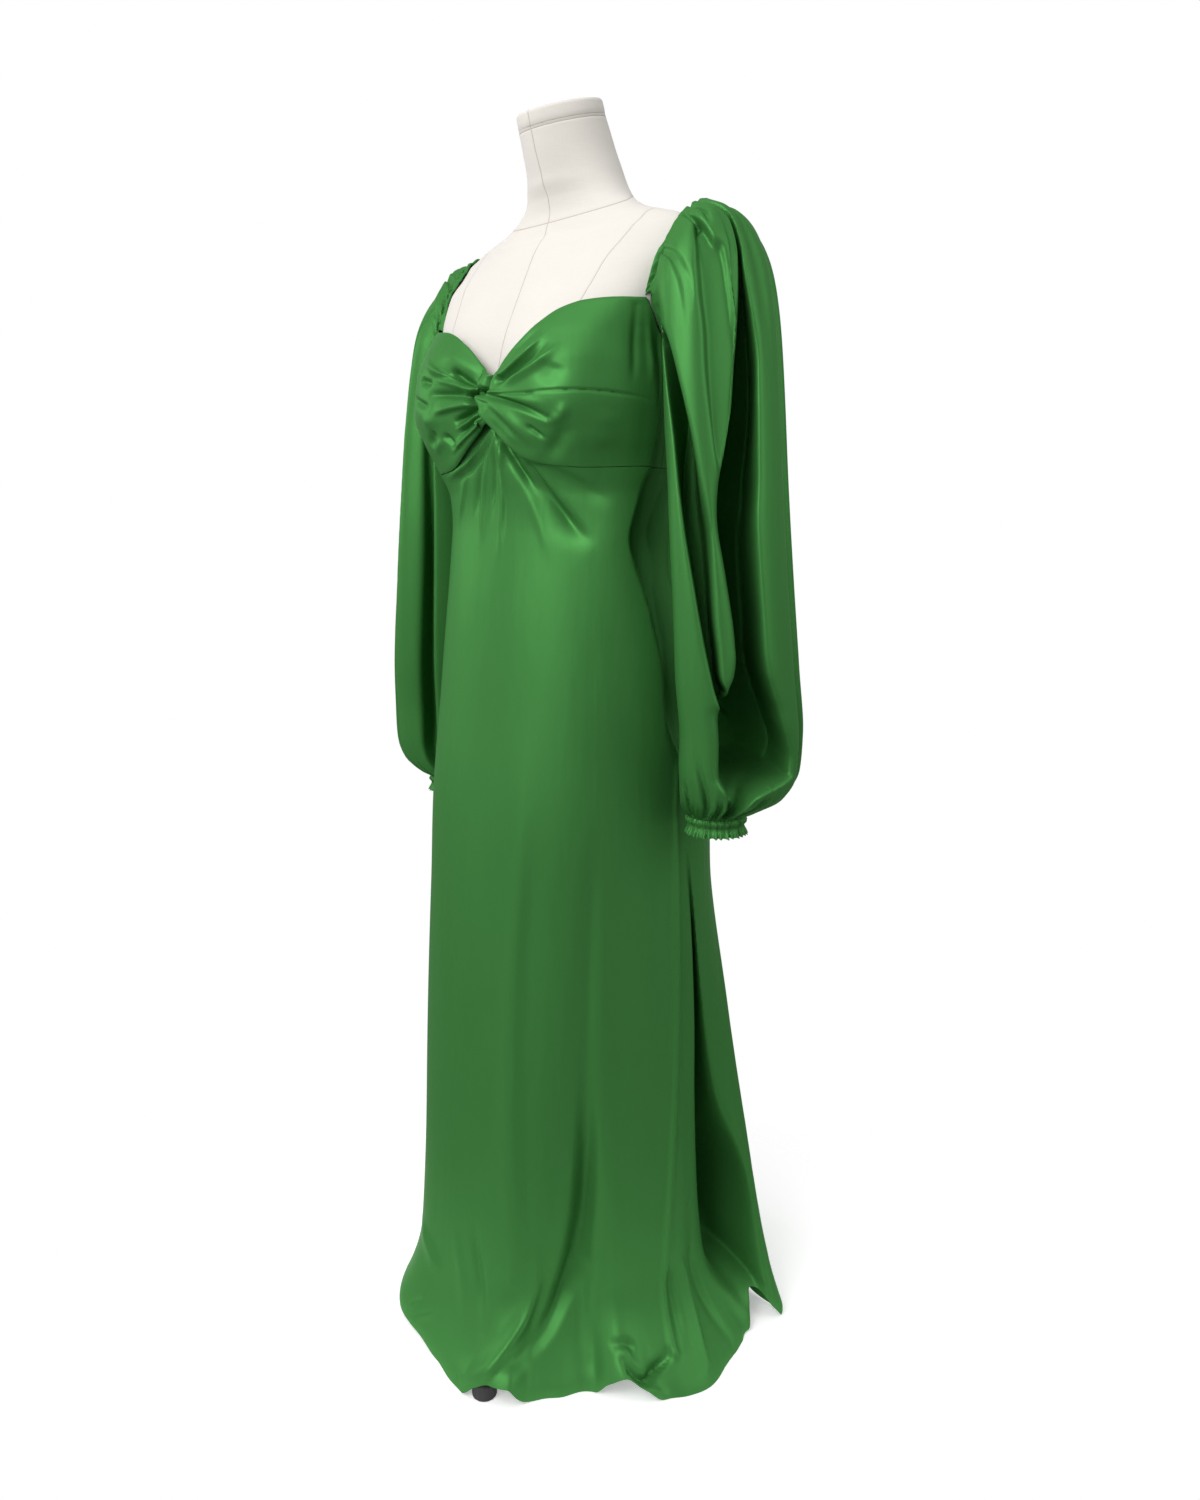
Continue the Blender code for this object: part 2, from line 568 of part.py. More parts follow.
# ---------------------------------------------------------------- sleeves
def off_shoulder(points, clear):
    """Points moved away from the middle of the shoulder until they clear the form.

    Each moves in its own y-z plane, along the ray from the middle: the ray's way out of the
    form is found by halving, and the point lies at least "clear" beyond it.
    """
    middle = np.array([0, SHOULDER_Y, SHOULDER_Z])
    ray = (points - middle) * (0, 1, 1)
    reach = np.linalg.norm(ray, axis=-1, keepdims=True)
    ray = ray / reach
    near, far = np.zeros_like(reach), np.full_like(reach, 0.12)
    for _ in range(24):
        half = (near + far) / 2
        spot = points * (1, 0, 0) + middle + ray * half
        angle = np.degrees(np.arctan2(spot[..., 0], -spot[..., 1]))
        body = section_radius(FORM, angle, spot[..., 2], BUST_WIDTH)
        inside = (np.hypot(spot[..., 0], spot[..., 1]) < body)[..., None]
        near, far = np.where(inside, half, near), np.where(inside, far, half)
    return points * (1, 0, 0) + middle + ray * np.maximum(reach, far + clear)


def casing_line(turn, outwards):
    """Points along the elastic neck edge, moved outwards over the shoulder.

    Outwards is mostly +X.  It falls with the shoulder's slope at the top, and spreads to
    the front and the back at the corners.
    """
    line = np.stack([CASING.at(name, turn) for name in "xyz"], -1)
    over = np.radians(turn)
    slope = np.stack([1 + 0 * over, -CORNER_SPREAD * np.cos(over),
                      -SHOULDER_SLOPE * np.sin(over)], -1)
    return off_shoulder(line + outwards * slope, CASING_CLEAR)


def armhole_loop(turn):
    """Ring where the sleeve begins: the neck edge above, the bodice's armhole below."""
    turn = turn % 360
    upper = casing_line(np.clip(turn, 0, 180), CASING_WIDTH + SEAM_GAP)
    angle = 90 - (ARMHOLE_HALF - 3) * np.cos(np.radians(turn))
    z = bodice_top(angle) + SEAM_GAP
    lower = polar(angle, dress_radius(angle, z) + 0.0005, z)
    return np.where((turn <= 180)[:, None], upper, lower)


def sleeve_turns(folds):
    """Turns round the ring: the bottom, both sides and the crest after each trough."""
    centre, width = folds["centre"], folds["width"]
    left = centre + width * TROUGH_SIDE
    right = (np.append(centre[1:], centre[0] + 360)
             - np.append(width[1:], width[0]) * TROUGH_SIDE)
    return np.stack([centre, left, (left + right) / 2, right], 1).ravel()


def sleeve_grid():
    """Rings from the armhole to the cuff: ovals between two lines, pulled in by troughs.

    A column stays on its crest or in its trough as the folds wander down the sleeve.
    """
    rings = []
    last = len(SLEEVE.values) - 1
    for k, row in enumerate(SLEEVE.values):
        low = k / last
        top_half = {"centre": 1, "width": 3, "depth": 5}
        folds = {name: SLEEVE_FOLDS.values[:, c] * (1 - low) + SLEEVE_FOLDS.values[:, c + 1] * low
                 for name, c in top_half.items()}
        turn = sleeve_turns(folds)
        if not rings:
            rings.append(armhole_loop(turn))
        value = dict(zip(SLEEVE.names, row))
        pull = sum(depth * bell(turn_to(turn, centre) / width)
                   for centre, width, depth in zip(*folds.values()))
        size = (1 - value["pleat"] * pull)[:, None]
        outer = np.array([value["outer_x"], value["centre_y"], value["outer_z"]])
        inner = np.array([value["inner_x"], value["centre_y"], value["inner_z"]])
        a = np.radians(turn)[:, None]
        rings.append((outer + inner) / 2 + (outer - inner) / 2 * np.sin(a) * size
                     - np.array([0, value["half_depth"], 0]) * np.cos(a) * size)
    return np.array(rings)


def add_sleeves(satin):
    grid = sleeve_grid()
    add_wall("sleeve_left", grid, satin, closed=True, level_rows=(-1,))
    add_wall("sleeve_right", lowered(mirrored(grid)), satin, closed=True, level_rows=(-1,))

    turn = np.linspace(*CASING_ENDS, 21)
    up = np.array([SHOULDER_SLOPE, 0, 1])
    band = np.array([casing_line(turn, CASING_WIDTH * part) + up * rise
                     for part, rise in ((0, 0), (0.5, CASING_CROWN), (1, 0))])
    add_wall("neck_casing_left", band, satin, thickness=CASING_THICK)
    add_wall("neck_casing_right", mirrored(band), satin, thickness=CASING_THICK)

    angle = np.arange(CUFF_COLUMNS) * 360 / CUFF_COLUMNS
    top = CUFF_Z - SEAM_GAP
    cuff = np.array([polar(angle, CUFF_RADIUS + out + 0 * angle, top - CUFF_HEIGHT * drop)
                     + (CUFF_X, 0, 0) for drop, out in CUFF_PROFILE])
    add_wall("cuff_left", cuff, satin, closed=True, level_rows=(0,))
    add_wall("cuff_right", lowered(mirrored(cuff)), satin, closed=True, level_rows=(0,))


def main():
    for thing in list(bpy.data.objects):
        bpy.data.objects.remove(thing, do_unlink=True)
    satin = material("green_satin", (0.052, 0.195, 0.062), 0.38)
    linen = material("form_linen", (0.78, 0.74, 0.69), 0.85)
    steel = material("stand_steel", (0.10, 0.10, 0.11), 0.45, 0.6)
    rubber = material("stand_rubber", (0.02, 0.02, 0.022), 0.7)
    build_form(linen, steel, rubber)
    add_front("left", satin)
    add_front("right", satin)
    add_bodice_back(satin)
    add_twist(satin)
    add_skirt(satin)
    add_sleeves(satin)


main()
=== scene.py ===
"""Looks of a satin midi dress with a twist front, on a limbless dress form with a stand.

Metres, +Z up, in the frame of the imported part: the pole's axis is x = y = 0 and the floor is
z = 0.  The front of the dress faces -Y and the wearer's left is +X.  Each piece of cloth is
one surface over two parameters, with its creases added as soft ridges and troughs.
"""
import math

import bpy
import numpy as np
from bpy.props import FloatProperty, FloatVectorProperty, PointerProperty
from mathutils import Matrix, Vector


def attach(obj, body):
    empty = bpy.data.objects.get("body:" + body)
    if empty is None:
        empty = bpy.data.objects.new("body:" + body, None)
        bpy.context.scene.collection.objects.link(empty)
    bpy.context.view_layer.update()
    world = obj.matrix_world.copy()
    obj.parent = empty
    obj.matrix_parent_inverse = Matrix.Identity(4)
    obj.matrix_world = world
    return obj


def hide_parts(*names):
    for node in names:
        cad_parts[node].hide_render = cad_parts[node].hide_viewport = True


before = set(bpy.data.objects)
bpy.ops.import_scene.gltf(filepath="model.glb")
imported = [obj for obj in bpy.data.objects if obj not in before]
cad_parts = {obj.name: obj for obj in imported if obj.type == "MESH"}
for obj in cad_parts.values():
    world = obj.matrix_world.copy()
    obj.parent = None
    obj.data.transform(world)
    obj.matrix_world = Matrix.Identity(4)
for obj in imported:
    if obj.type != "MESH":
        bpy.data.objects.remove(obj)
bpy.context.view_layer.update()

bl_info = {
    "name": "Satin dress on a dress form",
    "version": (1, 0, 0),
    "blender": (4, 5, 0),
    "location": "3D View > Sidebar > Dress",
    "description": "Builds the cloth, the form, the stand and the studio round the packed part",
    "category": "Object",
}

# ---------------------------------------------------------------- sizes of the garment
UNDERBUST_Z = 0.888
KNOT_Z = 0.966
KNOT_HALF_HEIGHT = 0.016
NECKLINE_Z = 1.054
UNDERARM_Z = 0.997
BACK_NECK_Z = 1.046
BACK_DIP_OVER = 30.0      # degrees over which the back neck falls to it
OFF_BODY = 0.003          # from the form to the cloth's outer face at least, before creases
SIDE_SEAM = 88.0          # degrees from the front
BODICE_SEAM_GAP = 0.15    # degrees from the side seam to each bodice panel
SKIRT_SEAM_GAP = 0.015    # and to each skirt panel
ARMHOLE_HALF = 19.0       # degrees from the armhole's middle to its corners
FLOOR_CLEAR = 0.0006
SEAM_GAP = 0.0004
WAIST_GAP = 0.0007        # from the bodice's lower edge to the skirt's top
CUFF_Z = 0.544
CUFF_X = 0.200
CUFF_HEIGHT = 0.017
CUFF_RADIUS = 0.0285
CASING_WIDTH = 0.009
CASING_THICKNESS = 0.0016
DROP_FROM, DROP_OVER = 0.860, 0.260      # heights over which the right sleeve falls lower
RIGHT_OUT, RIGHT_DROP = 0.008, 0.022
FRONT_RADIUS = 0.145      # turns angles into lengths along the cloth
TWIST_RADIUS = 0.135      # the same at the twist
LEFT_PHASE, RIGHT_PHASE = 0.4, 1.9       # of the gathers and ruches of each sleeve


class Table:
    """Rows of named columns, read between the rows by a smooth curve without overshoot.

    The first column drives the others.  Each column is a monotone cubic: at a row the slope
    is the harmonic mean of its two neighbours' slopes, and zero at a turning point.
    """

    def __init__(self, columns, rows):
        self.names = columns.split()
        values = np.array(rows, float)
        self.values = values[np.argsort(values[:, 0])]

    def at(self, name, where):
        """One column's value at places of the first column, held level beyond its ends."""
        x = self.values[:, 0]
        y = self.values[:, self.names.index(name)]
        where = np.clip(np.asarray(where, float), x[0], x[-1])
        step = np.diff(x)
        slope = np.diff(y) / step
        tangent = np.zeros_like(y)
        same = slope[:-1] * slope[1:] > 0
        mean = 2 * slope[:-1] * slope[1:] / np.where(same, slope[:-1] + slope[1:], 1)
        tangent[1:-1] = np.where(same, mean, 0)
        tangent[0], tangent[-1] = slope[0], slope[-1]
        k = np.clip(np.searchsorted(x, where) - 1, 0, len(step) - 1)
        t = (where - x[k]) / step[k]
        return (y[k] * (1 + 2 * t) * (1 - t) ** 2 + tangent[k] * step[k] * t * (1 - t) ** 2
                + y[k + 1] * t * t * (3 - 2 * t) - tangent[k + 1] * step[k] * t * t * (1 - t))


# level sections of the form and of the dress, in metres: see section_radius
FORM = Table("z half_width front back centre_y squareness bust lean", [
    (0.540, 0.128, 0.112, 0.112, 0.000, 2.3, 0.000, 0.00),
    (0.600, 0.138, 0.122, 0.120, 0.000, 2.3, 0.000, 0.00),
    (0.660, 0.136, 0.120, 0.116, 0.000, 2.3, 0.000, 0.00),
    (0.730, 0.124, 0.110, 0.100, 0.000, 2.2, 0.000, 0.00),
    (0.800, 0.112, 0.096, 0.086, 0.000, 2.2, 0.000, 0.00),
    (0.850, 0.118, 0.098, 0.088, 0.000, 2.2, 0.000, 0.00),
    (0.888, 0.126, 0.102, 0.091, 0.000, 2.2, 0.008, 0.00),
    (0.920, 0.134, 0.105, 0.094, 0.000, 2.2, 0.022, 0.00),
    (0.955, 0.141, 0.107, 0.096, 0.000, 2.2, 0.034, 0.00),
    (0.990, 0.146, 0.107, 0.097, 0.000, 2.2, 0.027, 0.00),
    (1.020, 0.152, 0.102, 0.097, 0.000, 2.9, 0.016, 0.00),
    (1.055, 0.162, 0.089, 0.097, 0.000, 3.8, 0.007, 0.00),
    (1.090, 0.171, 0.074, 0.090, 0.000, 3.3, 0.000, 0.00),
    (1.120, 0.178, 0.060, 0.080, 0.000, 2.0, 0.000, 0.00),
    (1.136, 0.175, 0.050, 0.073, 0.000, 1.7, 0.000, 0.00),
    (1.147, 0.158, 0.042, 0.068, 0.000, 1.6, 0.000, 0.00),
    (1.168, 0.100, 0.040, 0.062, 0.004, 1.8, 0.000, 0.02),
    (1.188, 0.069, 0.044, 0.056, 0.006, 2.0, 0.000, 0.08),
    (1.212, 0.056, 0.050, 0.054, 0.003, 2.0, 0.000, 0.16),
    (1.240, 0.050, 0.050, 0.050, -0.005, 2.0, 0.000, 0.25),
    (1.272, 0.0475, 0.0475, 0.0475, -0.017, 2.0, 0.000, 0.30)])
FORM_LOW, FORM_TOP = FORM.values[0, 0], FORM.values[-1, 0]
NECK_CAP_HEIGHT = 0.017

DRESS = Table("z half_width front back squareness bust", [
    (0.000, 0.163, 0.167, 0.190, 2.0, 0.000),
    (0.090, 0.161, 0.165, 0.180, 2.0, 0.000),
    (0.180, 0.160, 0.163, 0.168, 2.0, 0.000),
    (0.270, 0.159, 0.162, 0.158, 2.0, 0.000),
    (0.440, 0.156, 0.157, 0.145, 2.0, 0.000),
    (0.550, 0.153, 0.150, 0.139, 2.1, 0.000),
    (0.640, 0.149, 0.141, 0.131, 2.1, 0.000),
    (0.750, 0.142, 0.132, 0.116, 2.1, 0.000),
    (0.820, 0.138, 0.123, 0.104, 2.2, 0.000),
    (0.860, 0.138, 0.119, 0.100, 2.2, 0.006),
    (0.888, 0.140, 0.119, 0.099, 2.5, 0.014),
    (0.920, 0.145, 0.122, 0.101, 2.8, 0.024),
    (0.955, 0.149, 0.123, 0.103, 3.0, 0.031),
    (0.990, 0.152, 0.119, 0.104, 3.0, 0.032),
    (1.020, 0.158, 0.115, 0.105, 2.9, 0.023),
    (1.055, 0.168, 0.104, 0.106, 2.7, 0.011),
    (1.075, 0.174, 0.094, 0.104, 2.6, 0.006)])
BUST_ANGLE = 31.0
BUST_WIDTH = 21.0
DRESS_BUST_WIDTH = 29.0

# heights of the fronts' lower and upper edges, by degrees from the front
FRONT_EDGES = Table("angle lower upper", [
    (-90.0, 0.8880, 1.0540), (-71.0, 0.8870, 1.0520), (-50.0, 0.8850, 1.0470),
    (-41.0, 0.8845, 1.0430), (-31.0, 0.8855, 1.0390), (-25.0, 0.8870, 1.0350),
    (-20.0, 0.8905, 1.0300), (-15.0, 0.8980, 1.0230), (-9.0, 0.9095, 1.0130),
    (-4.0, 0.9195, 1.0020), (0.0, 0.9280, 0.9930), (5.0, 0.9345, 0.9855),
    (6.5, 0.9370, 0.9840), (8.2, 0.9330, 0.9826), (9.5, 0.9300, 0.9820),
    (11.0, 0.9265, 0.9835), (12.8, 0.9220, 0.9865), (16.0, 0.9145, 0.9945),
    (20.0, 0.9060, 1.0045), (25.0, 0.8960, 1.0170), (31.0, 0.8910, 1.0310),
    (40.0, 0.8880, 1.0460), (50.0, 0.8865, 1.0530), (60.0, 0.8870, 1.0545),
    (71.0, 0.8880, 1.0540), (90.0, 0.8880, 1.0540)])
# the line where the two fronts meet: the near one's tongue laps over to the wearer's right
MEETING = Table("z angle", [
    (0.930, 9.0), (0.937, 6.5), (0.945, 4.0), (0.952, 1.0), (0.957, -1.3), (0.9620, -2.0),
    (0.9642, -1.2), (0.9656, 2.6), (0.9670, 6.4), (0.970, 7.4), (0.977, 8.0), (0.982, 9.5),
    (0.990, 11.0)])
MEETING_FADE = 26.0

# how far the hem spreads out and how far it lifts off the floor
HEM = Table("angle spread lift", [
    (-180, 0.024, 0.000), (-150, 0.030, 0.004), (-130, 0.036, 0.000), (-112, 0.046, 0.004),
    (-106, 0.046, 0.019), (-94, 0.040, 0.019), (-86, 0.030, 0.002), (-75, 0.022, 0.000),
    (-50, 0.026, 0.004), (-30, 0.028, 0.004), (-12, 0.029, 0.003), (0, 0.032, 0.000),
    (8, 0.040, 0.000), (14.5, 0.047, 0.001), (19, 0.063, 0.012), (23, 0.075, 0.018),
    (28, 0.079, 0.018), (32.5, 0.041, 0.001), (36, 0.038, 0.000), (43, 0.045, 0.000),
    (51.6, 0.041, 0.000), (55, 0.060, 0.012), (60, 0.082, 0.021), (65, 0.064, 0.010),
    (69.5, 0.052, 0.000), (75.5, 0.056, 0.000), (85, 0.052, 0.000), (97, 0.050, 0.000),
    (102, 0.046, 0.000), (106.5, 0.038, 0.002), (109, 0.044, 0.018), (111, 0.046, 0.029),
    (112.6, 0.034, 0.027), (114.3, 0.018, 0.013), (117, 0.009, 0.000), (121, 0.006, 0.000),
    (128, 0.018, 0.004), (135, 0.040, 0.019), (145, 0.040, 0.019), (152, 0.036, 0.002),
    (180, 0.024, 0.000)])
HEM_SPREAD_Z = 0.085

# long folds of the skirt, out (+) or in (-) at the hem and fading upwards: the angle and the
# width in degrees at the top and at the hem (top, hem, top, hem), top height and depth
SKIRT_FOLDS = [
    (27, 21, 9, 11, 0.60, 0.007),
    (51, 47, 7, 10, 0.46, -0.021),
    (88, 83, 5, 7, 0.66, 0.009),
    (124, 117, 14, 8, 0.47, 0.060),
    (150, 152, 10, 12, 0.42, -0.016),
    (178, 174, 12, 13, 0.50, 0.010),
    (-152, -150, 10, 11, 0.40, -0.014),
    (-126, -122, 11, 13, 0.50, 0.026),
    (-99, -98, 8, 9, 0.42, -0.024),
    (-80, -74, 9, 10, 0.44, 0.012),
    (-52, -54, 10, 11, 0.34, -0.009),
    (-22, -26, 9, 12, 0.26, 0.008)]

# a pleat that tucks in under the flare on the wearer's left: at each height the middle and
# half width of its mouth in degrees, how far it goes in, and how far its bottom lies round
SIDE_PLEAT = Table("z middle half depth lean", [
    (0.000, 110.0, 2.5, 0.000, 0), (0.028, 110.0, 2.8, 0.008, 3), (0.060, 108.8, 4.4, 0.052, 18),
    (0.140, 107.4, 6.6, 0.062, 28), (0.235, 102.8, 4.0, 0.052, 20), (0.330, 100.0, 2.0, 0.020, 8),
    (0.420, 97.0, 1.1, 0.006, 3), (0.500, 93.0, 1.0, 0.000, 0)])
# where the dress falls in behind the wearer's left arm: the edge's angle, how far it falls
# in, and how far the cloth before the edge stands out, in metres.  The three numbers after
# the table are in degrees: the step in, the cloth before it, and the way back out.
SIDE_RECESS = Table("z edge depth lift", [
    (0.545, 92.0, 0.000, 0.000), (0.588, 88.5, 0.005, 0.004), (0.605, 85.5, 0.011, 0.007),
    (0.640, 80.5, 0.016, 0.009), (0.700, 79.0, 0.020, 0.011), (0.740, 75.5, 0.024, 0.011),
    (0.770, 72.0, 0.026, 0.011), (0.815, 66.8, 0.025, 0.010), (0.850, 70.0, 0.020, 0.010),
    (0.875, 72.5, 0.015, 0.011), (0.889, 75.0, 0.014, 0.011), (0.950, 77.0, 0.013, 0.012),
    (0.985, 77.5, 0.009, 0.009), (1.010, 78.0, 0.002, 0.002), (1.024, 78.0, 0.000, 0.000)])
RECESS_STEP, RECESS_BEFORE = 4.5, 17.0
RECESS_BACK, RECESS_BACK_FADE = 104.0, 20.0

# ---------------------------------------------------------------- creases
# Each runs along a curve from one place on the cloth, bent towards a second, to a third.
# Places are (degrees from the front, height).  width and height are in millimetres: a ridge
# stands out, and a trough, with a height below zero, goes in.  lean, from -1 to 1, makes
# the side on its left (+) or right (-) steep.  start and end are the share left at each end.
# The columns are the three places, width, height, lean, start and end.
LEFT_CUP = np.array([
    (15.8, 0.981, 26.0, 0.988, 36, 1.021, 2.6, 3.6, -0.4, 0.6, 0.0),
    (13, 0.985, 22, 1.000, 35, 1.029, 3.0, -1.8, 0.0, 0.6, 0.0),
    (14.5, 0.975, 25, 0.976, 38, 1.014, 4.0, -6.5, 0.0, 1.0, 0.0),
    (16.5, 0.971, 31, 0.973, 41.5, 1.010, 3.2, 4.6, 0.4, 0.2, 0.0),
    (40, 0.988, 38.5, 0.977, 35, 0.964, 8.0, -2.2, 0.0, 0.0, 0.0),
    (-1, 0.9665, 13, 0.9600, 31, 0.9590, 1.5, -2.0, 0.3, 0.9, 0.6),
    (29, 0.9590, 51, 0.9645, 73, 0.9530, 1.3, -1.8, 0.3, 0.5, 0.2),
    (0.5, 0.9650, 21, 0.9545, 36, 0.9335, 3.0, -6.5, -0.3, 0.7, 0.5),
    (8, 0.9640, 22, 0.9570, 37, 0.9450, 4.5, 2.2, 0.0, 0.2, 0.0),
    (35.5, 0.9330, 42.5, 0.9290, 42, 0.9520, 5.0, 2.6, 0.0, 0.3, 0.0),
    (2, 0.9620, 21, 0.9500, 31, 0.9030, 6.5, 5.0, 0.0, 0.3, 0.1),
    (28, 0.9300, 31.5, 0.9220, 36, 0.9130, 2.0, -3.4, 0.3, 0.0, 0.1),
    (43, 0.9300, 41.5, 0.9120, 35, 0.8960, 7.5, -3.6, 0.0, 0.0, 0.3),
    (10, 0.9460, 17, 0.9280, 27, 0.9050, 3.5, 2.2, 0.0, 0.5, 0.0),
    (67, 1.045, 66, 1.005, 65, 0.965, 3.2, -2.0, 0.0, 0.6, 0.0),
    (71.5, 1.042, 73, 1.000, 72.5, 0.962, 3.4, 1.8, 0.0, 0.4, 0.0),
    (76, 1.030, 77, 0.990, 76, 0.930, 3.2, -1.8, 0.0, 0.2, 0.0),
    (57, 0.945, 54, 0.925, 55, 0.900, 12.0, 1.4, 0.0, 0.0, 0.0)])
RIGHT_CUP = np.array([
    (-35, 1.012, -17, 0.981, 0, 0.967, 3.0, 5.6, 0.4, 0.0, 0.9),
    (-15, 0.994, -12, 0.984, -2, 0.972, 3.8, -8.0, 0.0, 0.0, 0.9),
    (-24, 1.016, -12, 1.001, 2, 0.980, 9.0, 4.5, 0.0, 0.2, 0.6),
    (-24, 0.985, -14, 0.976, -4, 0.967, 2.2, 2.4, 0.2, 0.0, 0.8),
    (-21, 0.989, -14, 0.981, -4, 0.971, 2.4, -4.6, 0.0, 0.0, 0.6),
    (-33, 0.988, -29, 0.983, -23, 0.980, 3.6, -4.6, 0.2, 0.0, 0.0),
    (-40, 0.970, -33, 0.962, -24, 0.955, 4.0, -5.0, 0.3, 0.2, 0.0),
    (-26, 0.968, -14, 0.968, -3, 0.962, 4.0, -6.0, 0.0, 0.0, 0.9),
    (-24, 0.947, -14, 0.956, -2, 0.955, 4.6, 5.2, -0.3, 0.0, 0.8),
    (-14, 0.936, -8, 0.943, 0, 0.950, 3.4, -8.0, 0.0, 0.0, 0.9),
    (-14, 0.929, -7, 0.935, 0, 0.947, 2.4, 4.6, 0.2, 0.0, 0.8),
    (-12, 0.924, -6, 0.931, 1, 0.943, 2.0, -3.6, 0.0, 0.0, 0.9),
    (-20, 0.904, -6, 0.926, 4, 0.942, 3.2, 5.4, -0.3, 0.0, 0.8),
    (-30, 0.908, -25, 0.914, -20, 0.921, 4.0, 1.8, 0.0, 0.0, 0.0),
    (-24, 0.931, -28, 0.922, -32, 0.913, 4.4, -4.4, 0.0, 0.0, 0.0),
    (-21, 0.927, -17, 0.919, -15, 0.910, 3.4, -4.8, 0.0, 0.0, 0.0),
    (-32, 0.940, -26, 0.942, -20, 0.940, 7.0, 2.4, 0.0, 0.0, 0.2),
    (-50, 0.985, -46, 0.955, -42, 0.915, 9.0, 2.0, 0.0, 0.0, 0.0),
    (-62, 1.046, -61, 1.010, -58, 0.970, 5.0, -1.6, 0.0, 0.4, 0.0),
    (-74, 1.040, -73, 1.000, -74, 0.950, 4.0, 1.6, 0.0, 0.3, 0.0)])
SKIRT_CREASES = np.array([
    (1, 0.925, -5, 0.875, -7, 0.800, 4.6, 3.4, 0.0, 0.3, 0.0),
    (11.8, 0.926, 10.5, 0.880, 7, 0.790, 4.2, 4.4, 0.0, 0.3, 0.0),
    (7, 0.930, 4.5, 0.890, 0, 0.835, 3.2, -3.8, 0.0, 0.8, 0.0),
    (8, 0.932, 16, 0.902, 29, 0.858, 5.4, -9.0, 0.2, 0.5, 0.0),
    (26.5, 0.888, 34, 0.862, 52, 0.812, 4.6, -5.0, 0.3, 0.6, 0.0),
    (18, 0.890, 28, 0.850, 36, 0.790, 6.0, 1.6, 0.0, 0.3, 0.0),
    (0, 0.912, -6, 0.880, -13, 0.835, 4.0, -3.2, 0.0, 0.7, 0.0),
    (-11, 0.898, -20, 0.870, -30, 0.825, 4.5, 2.4, 0.0, 0.3, 0.0),
    (17, 0.892, 37, 0.850, 54, 0.805, 10.0, -6.5, 0.3, 0.4, 0.0),
    (-30, 0.881, -13, 0.889, 5, 0.928, 3.0, 4.6, 0.0, 0.2, 0.6),
    (-24, 0.876, -11, 0.884, 3, 0.915, 2.6, -3.0, 0.0, 0.1, 0.6),
    (31, 0.889, 46, 0.873, 62, 0.850, 8.0, -3.4, 0.3, 0.5, 0.0),
    (8.5, 0.925, 9, 0.900, 11, 0.850, 2.6, -2.6, 0.0, 0.6, 0.0),
    (28, 0.620, 19.5, 0.340, 25, 0.100, 10.0, 4.4, 0.0, 0.0, 0.5),
    (53, 0.540, 48, 0.330, 50, 0.110, 8.0, -4.0, 0.0, 0.0, 0.6),
    (50, 0.300, 54, 0.070, 30, 0.036, 8.0, -12.0, 0.2, 0.0, 0.4),
    (33, 0.110, 29, 0.030, 14, 0.012, 5.0, 6.0, 0.4, 0.3, 0.5),
    (-28, 0.085, -18, 0.078, -9, 0.058, 8.0, 3.0, 0.2, 0.2, 0.0),
    (-20, 0.016, -17, 0.024, -13, 0.033, 2.6, 2.4, 0.0, 0.3, 0.0),
    (-18, 0.010, -12, 0.020, -4, 0.037, 3.0, -2.4, 0.3, 0.5, 0.0),
    (74, 0.026, 69, 0.016, 64, 0.018, 2.8, -8.0, 0.4, 0.5, 0.5),
    (60, 0.033, 62, 0.024, 65, 0.018, 2.6, -7.0, 0.2, 0.5, 0.6),
    (58, 0.041, 63, 0.047, 63.5, 0.034, 2.4, -5.0, 0.0, 0.4, 0.3),
    (63, 0.015, 66, 0.010, 70, 0.003, 3.0, 3.0, 0.0, 0.2, 0.6),
    (84, 0.104, 90, 0.060, 84, 0.014, 3.6, 4.0, 0.4, 0.0, 0.5),
    (79, 0.100, 82, 0.060, 79, 0.030, 5.0, -5.0, 0.0, 0.0, 0.3),
    (8, 0.140, 10, 0.080, 16, 0.045, 5.0, -3.0, 0.0, 0.0, 0.2),
    (-2, 0.120, 2, 0.070, 8, 0.040, 7.0, 2.2, 0.0, 0.0, 0.2),
    (53, 0.150, 54, 0.080, 50, 0.030, 8.0, 3.0, 0.0, 0.0, 0.3),
    (34, 0.120, 34, 0.070, 25, 0.040, 5.0, 2.5, 0.2, 0.0, 0.3),
    (88, 0.600, 86.5, 0.260, 76, 0.026, 3.2, 4.6, 0.0, 0.3, 0.8),
    (-40, 0.200, -44, 0.110, -50, 0.030, 9.0, -3.5, 0.0, 0.0, 0.4),
    (-62, 0.060, -58, 0.030, -52, 0.012, 4.0, 3.4, 0.2, 0.0, 0.4),
    (-70, 0.260, -72, 0.140, -78, 0.040, 8.0, 3.0, 0.2, 0.0, 0.4)])
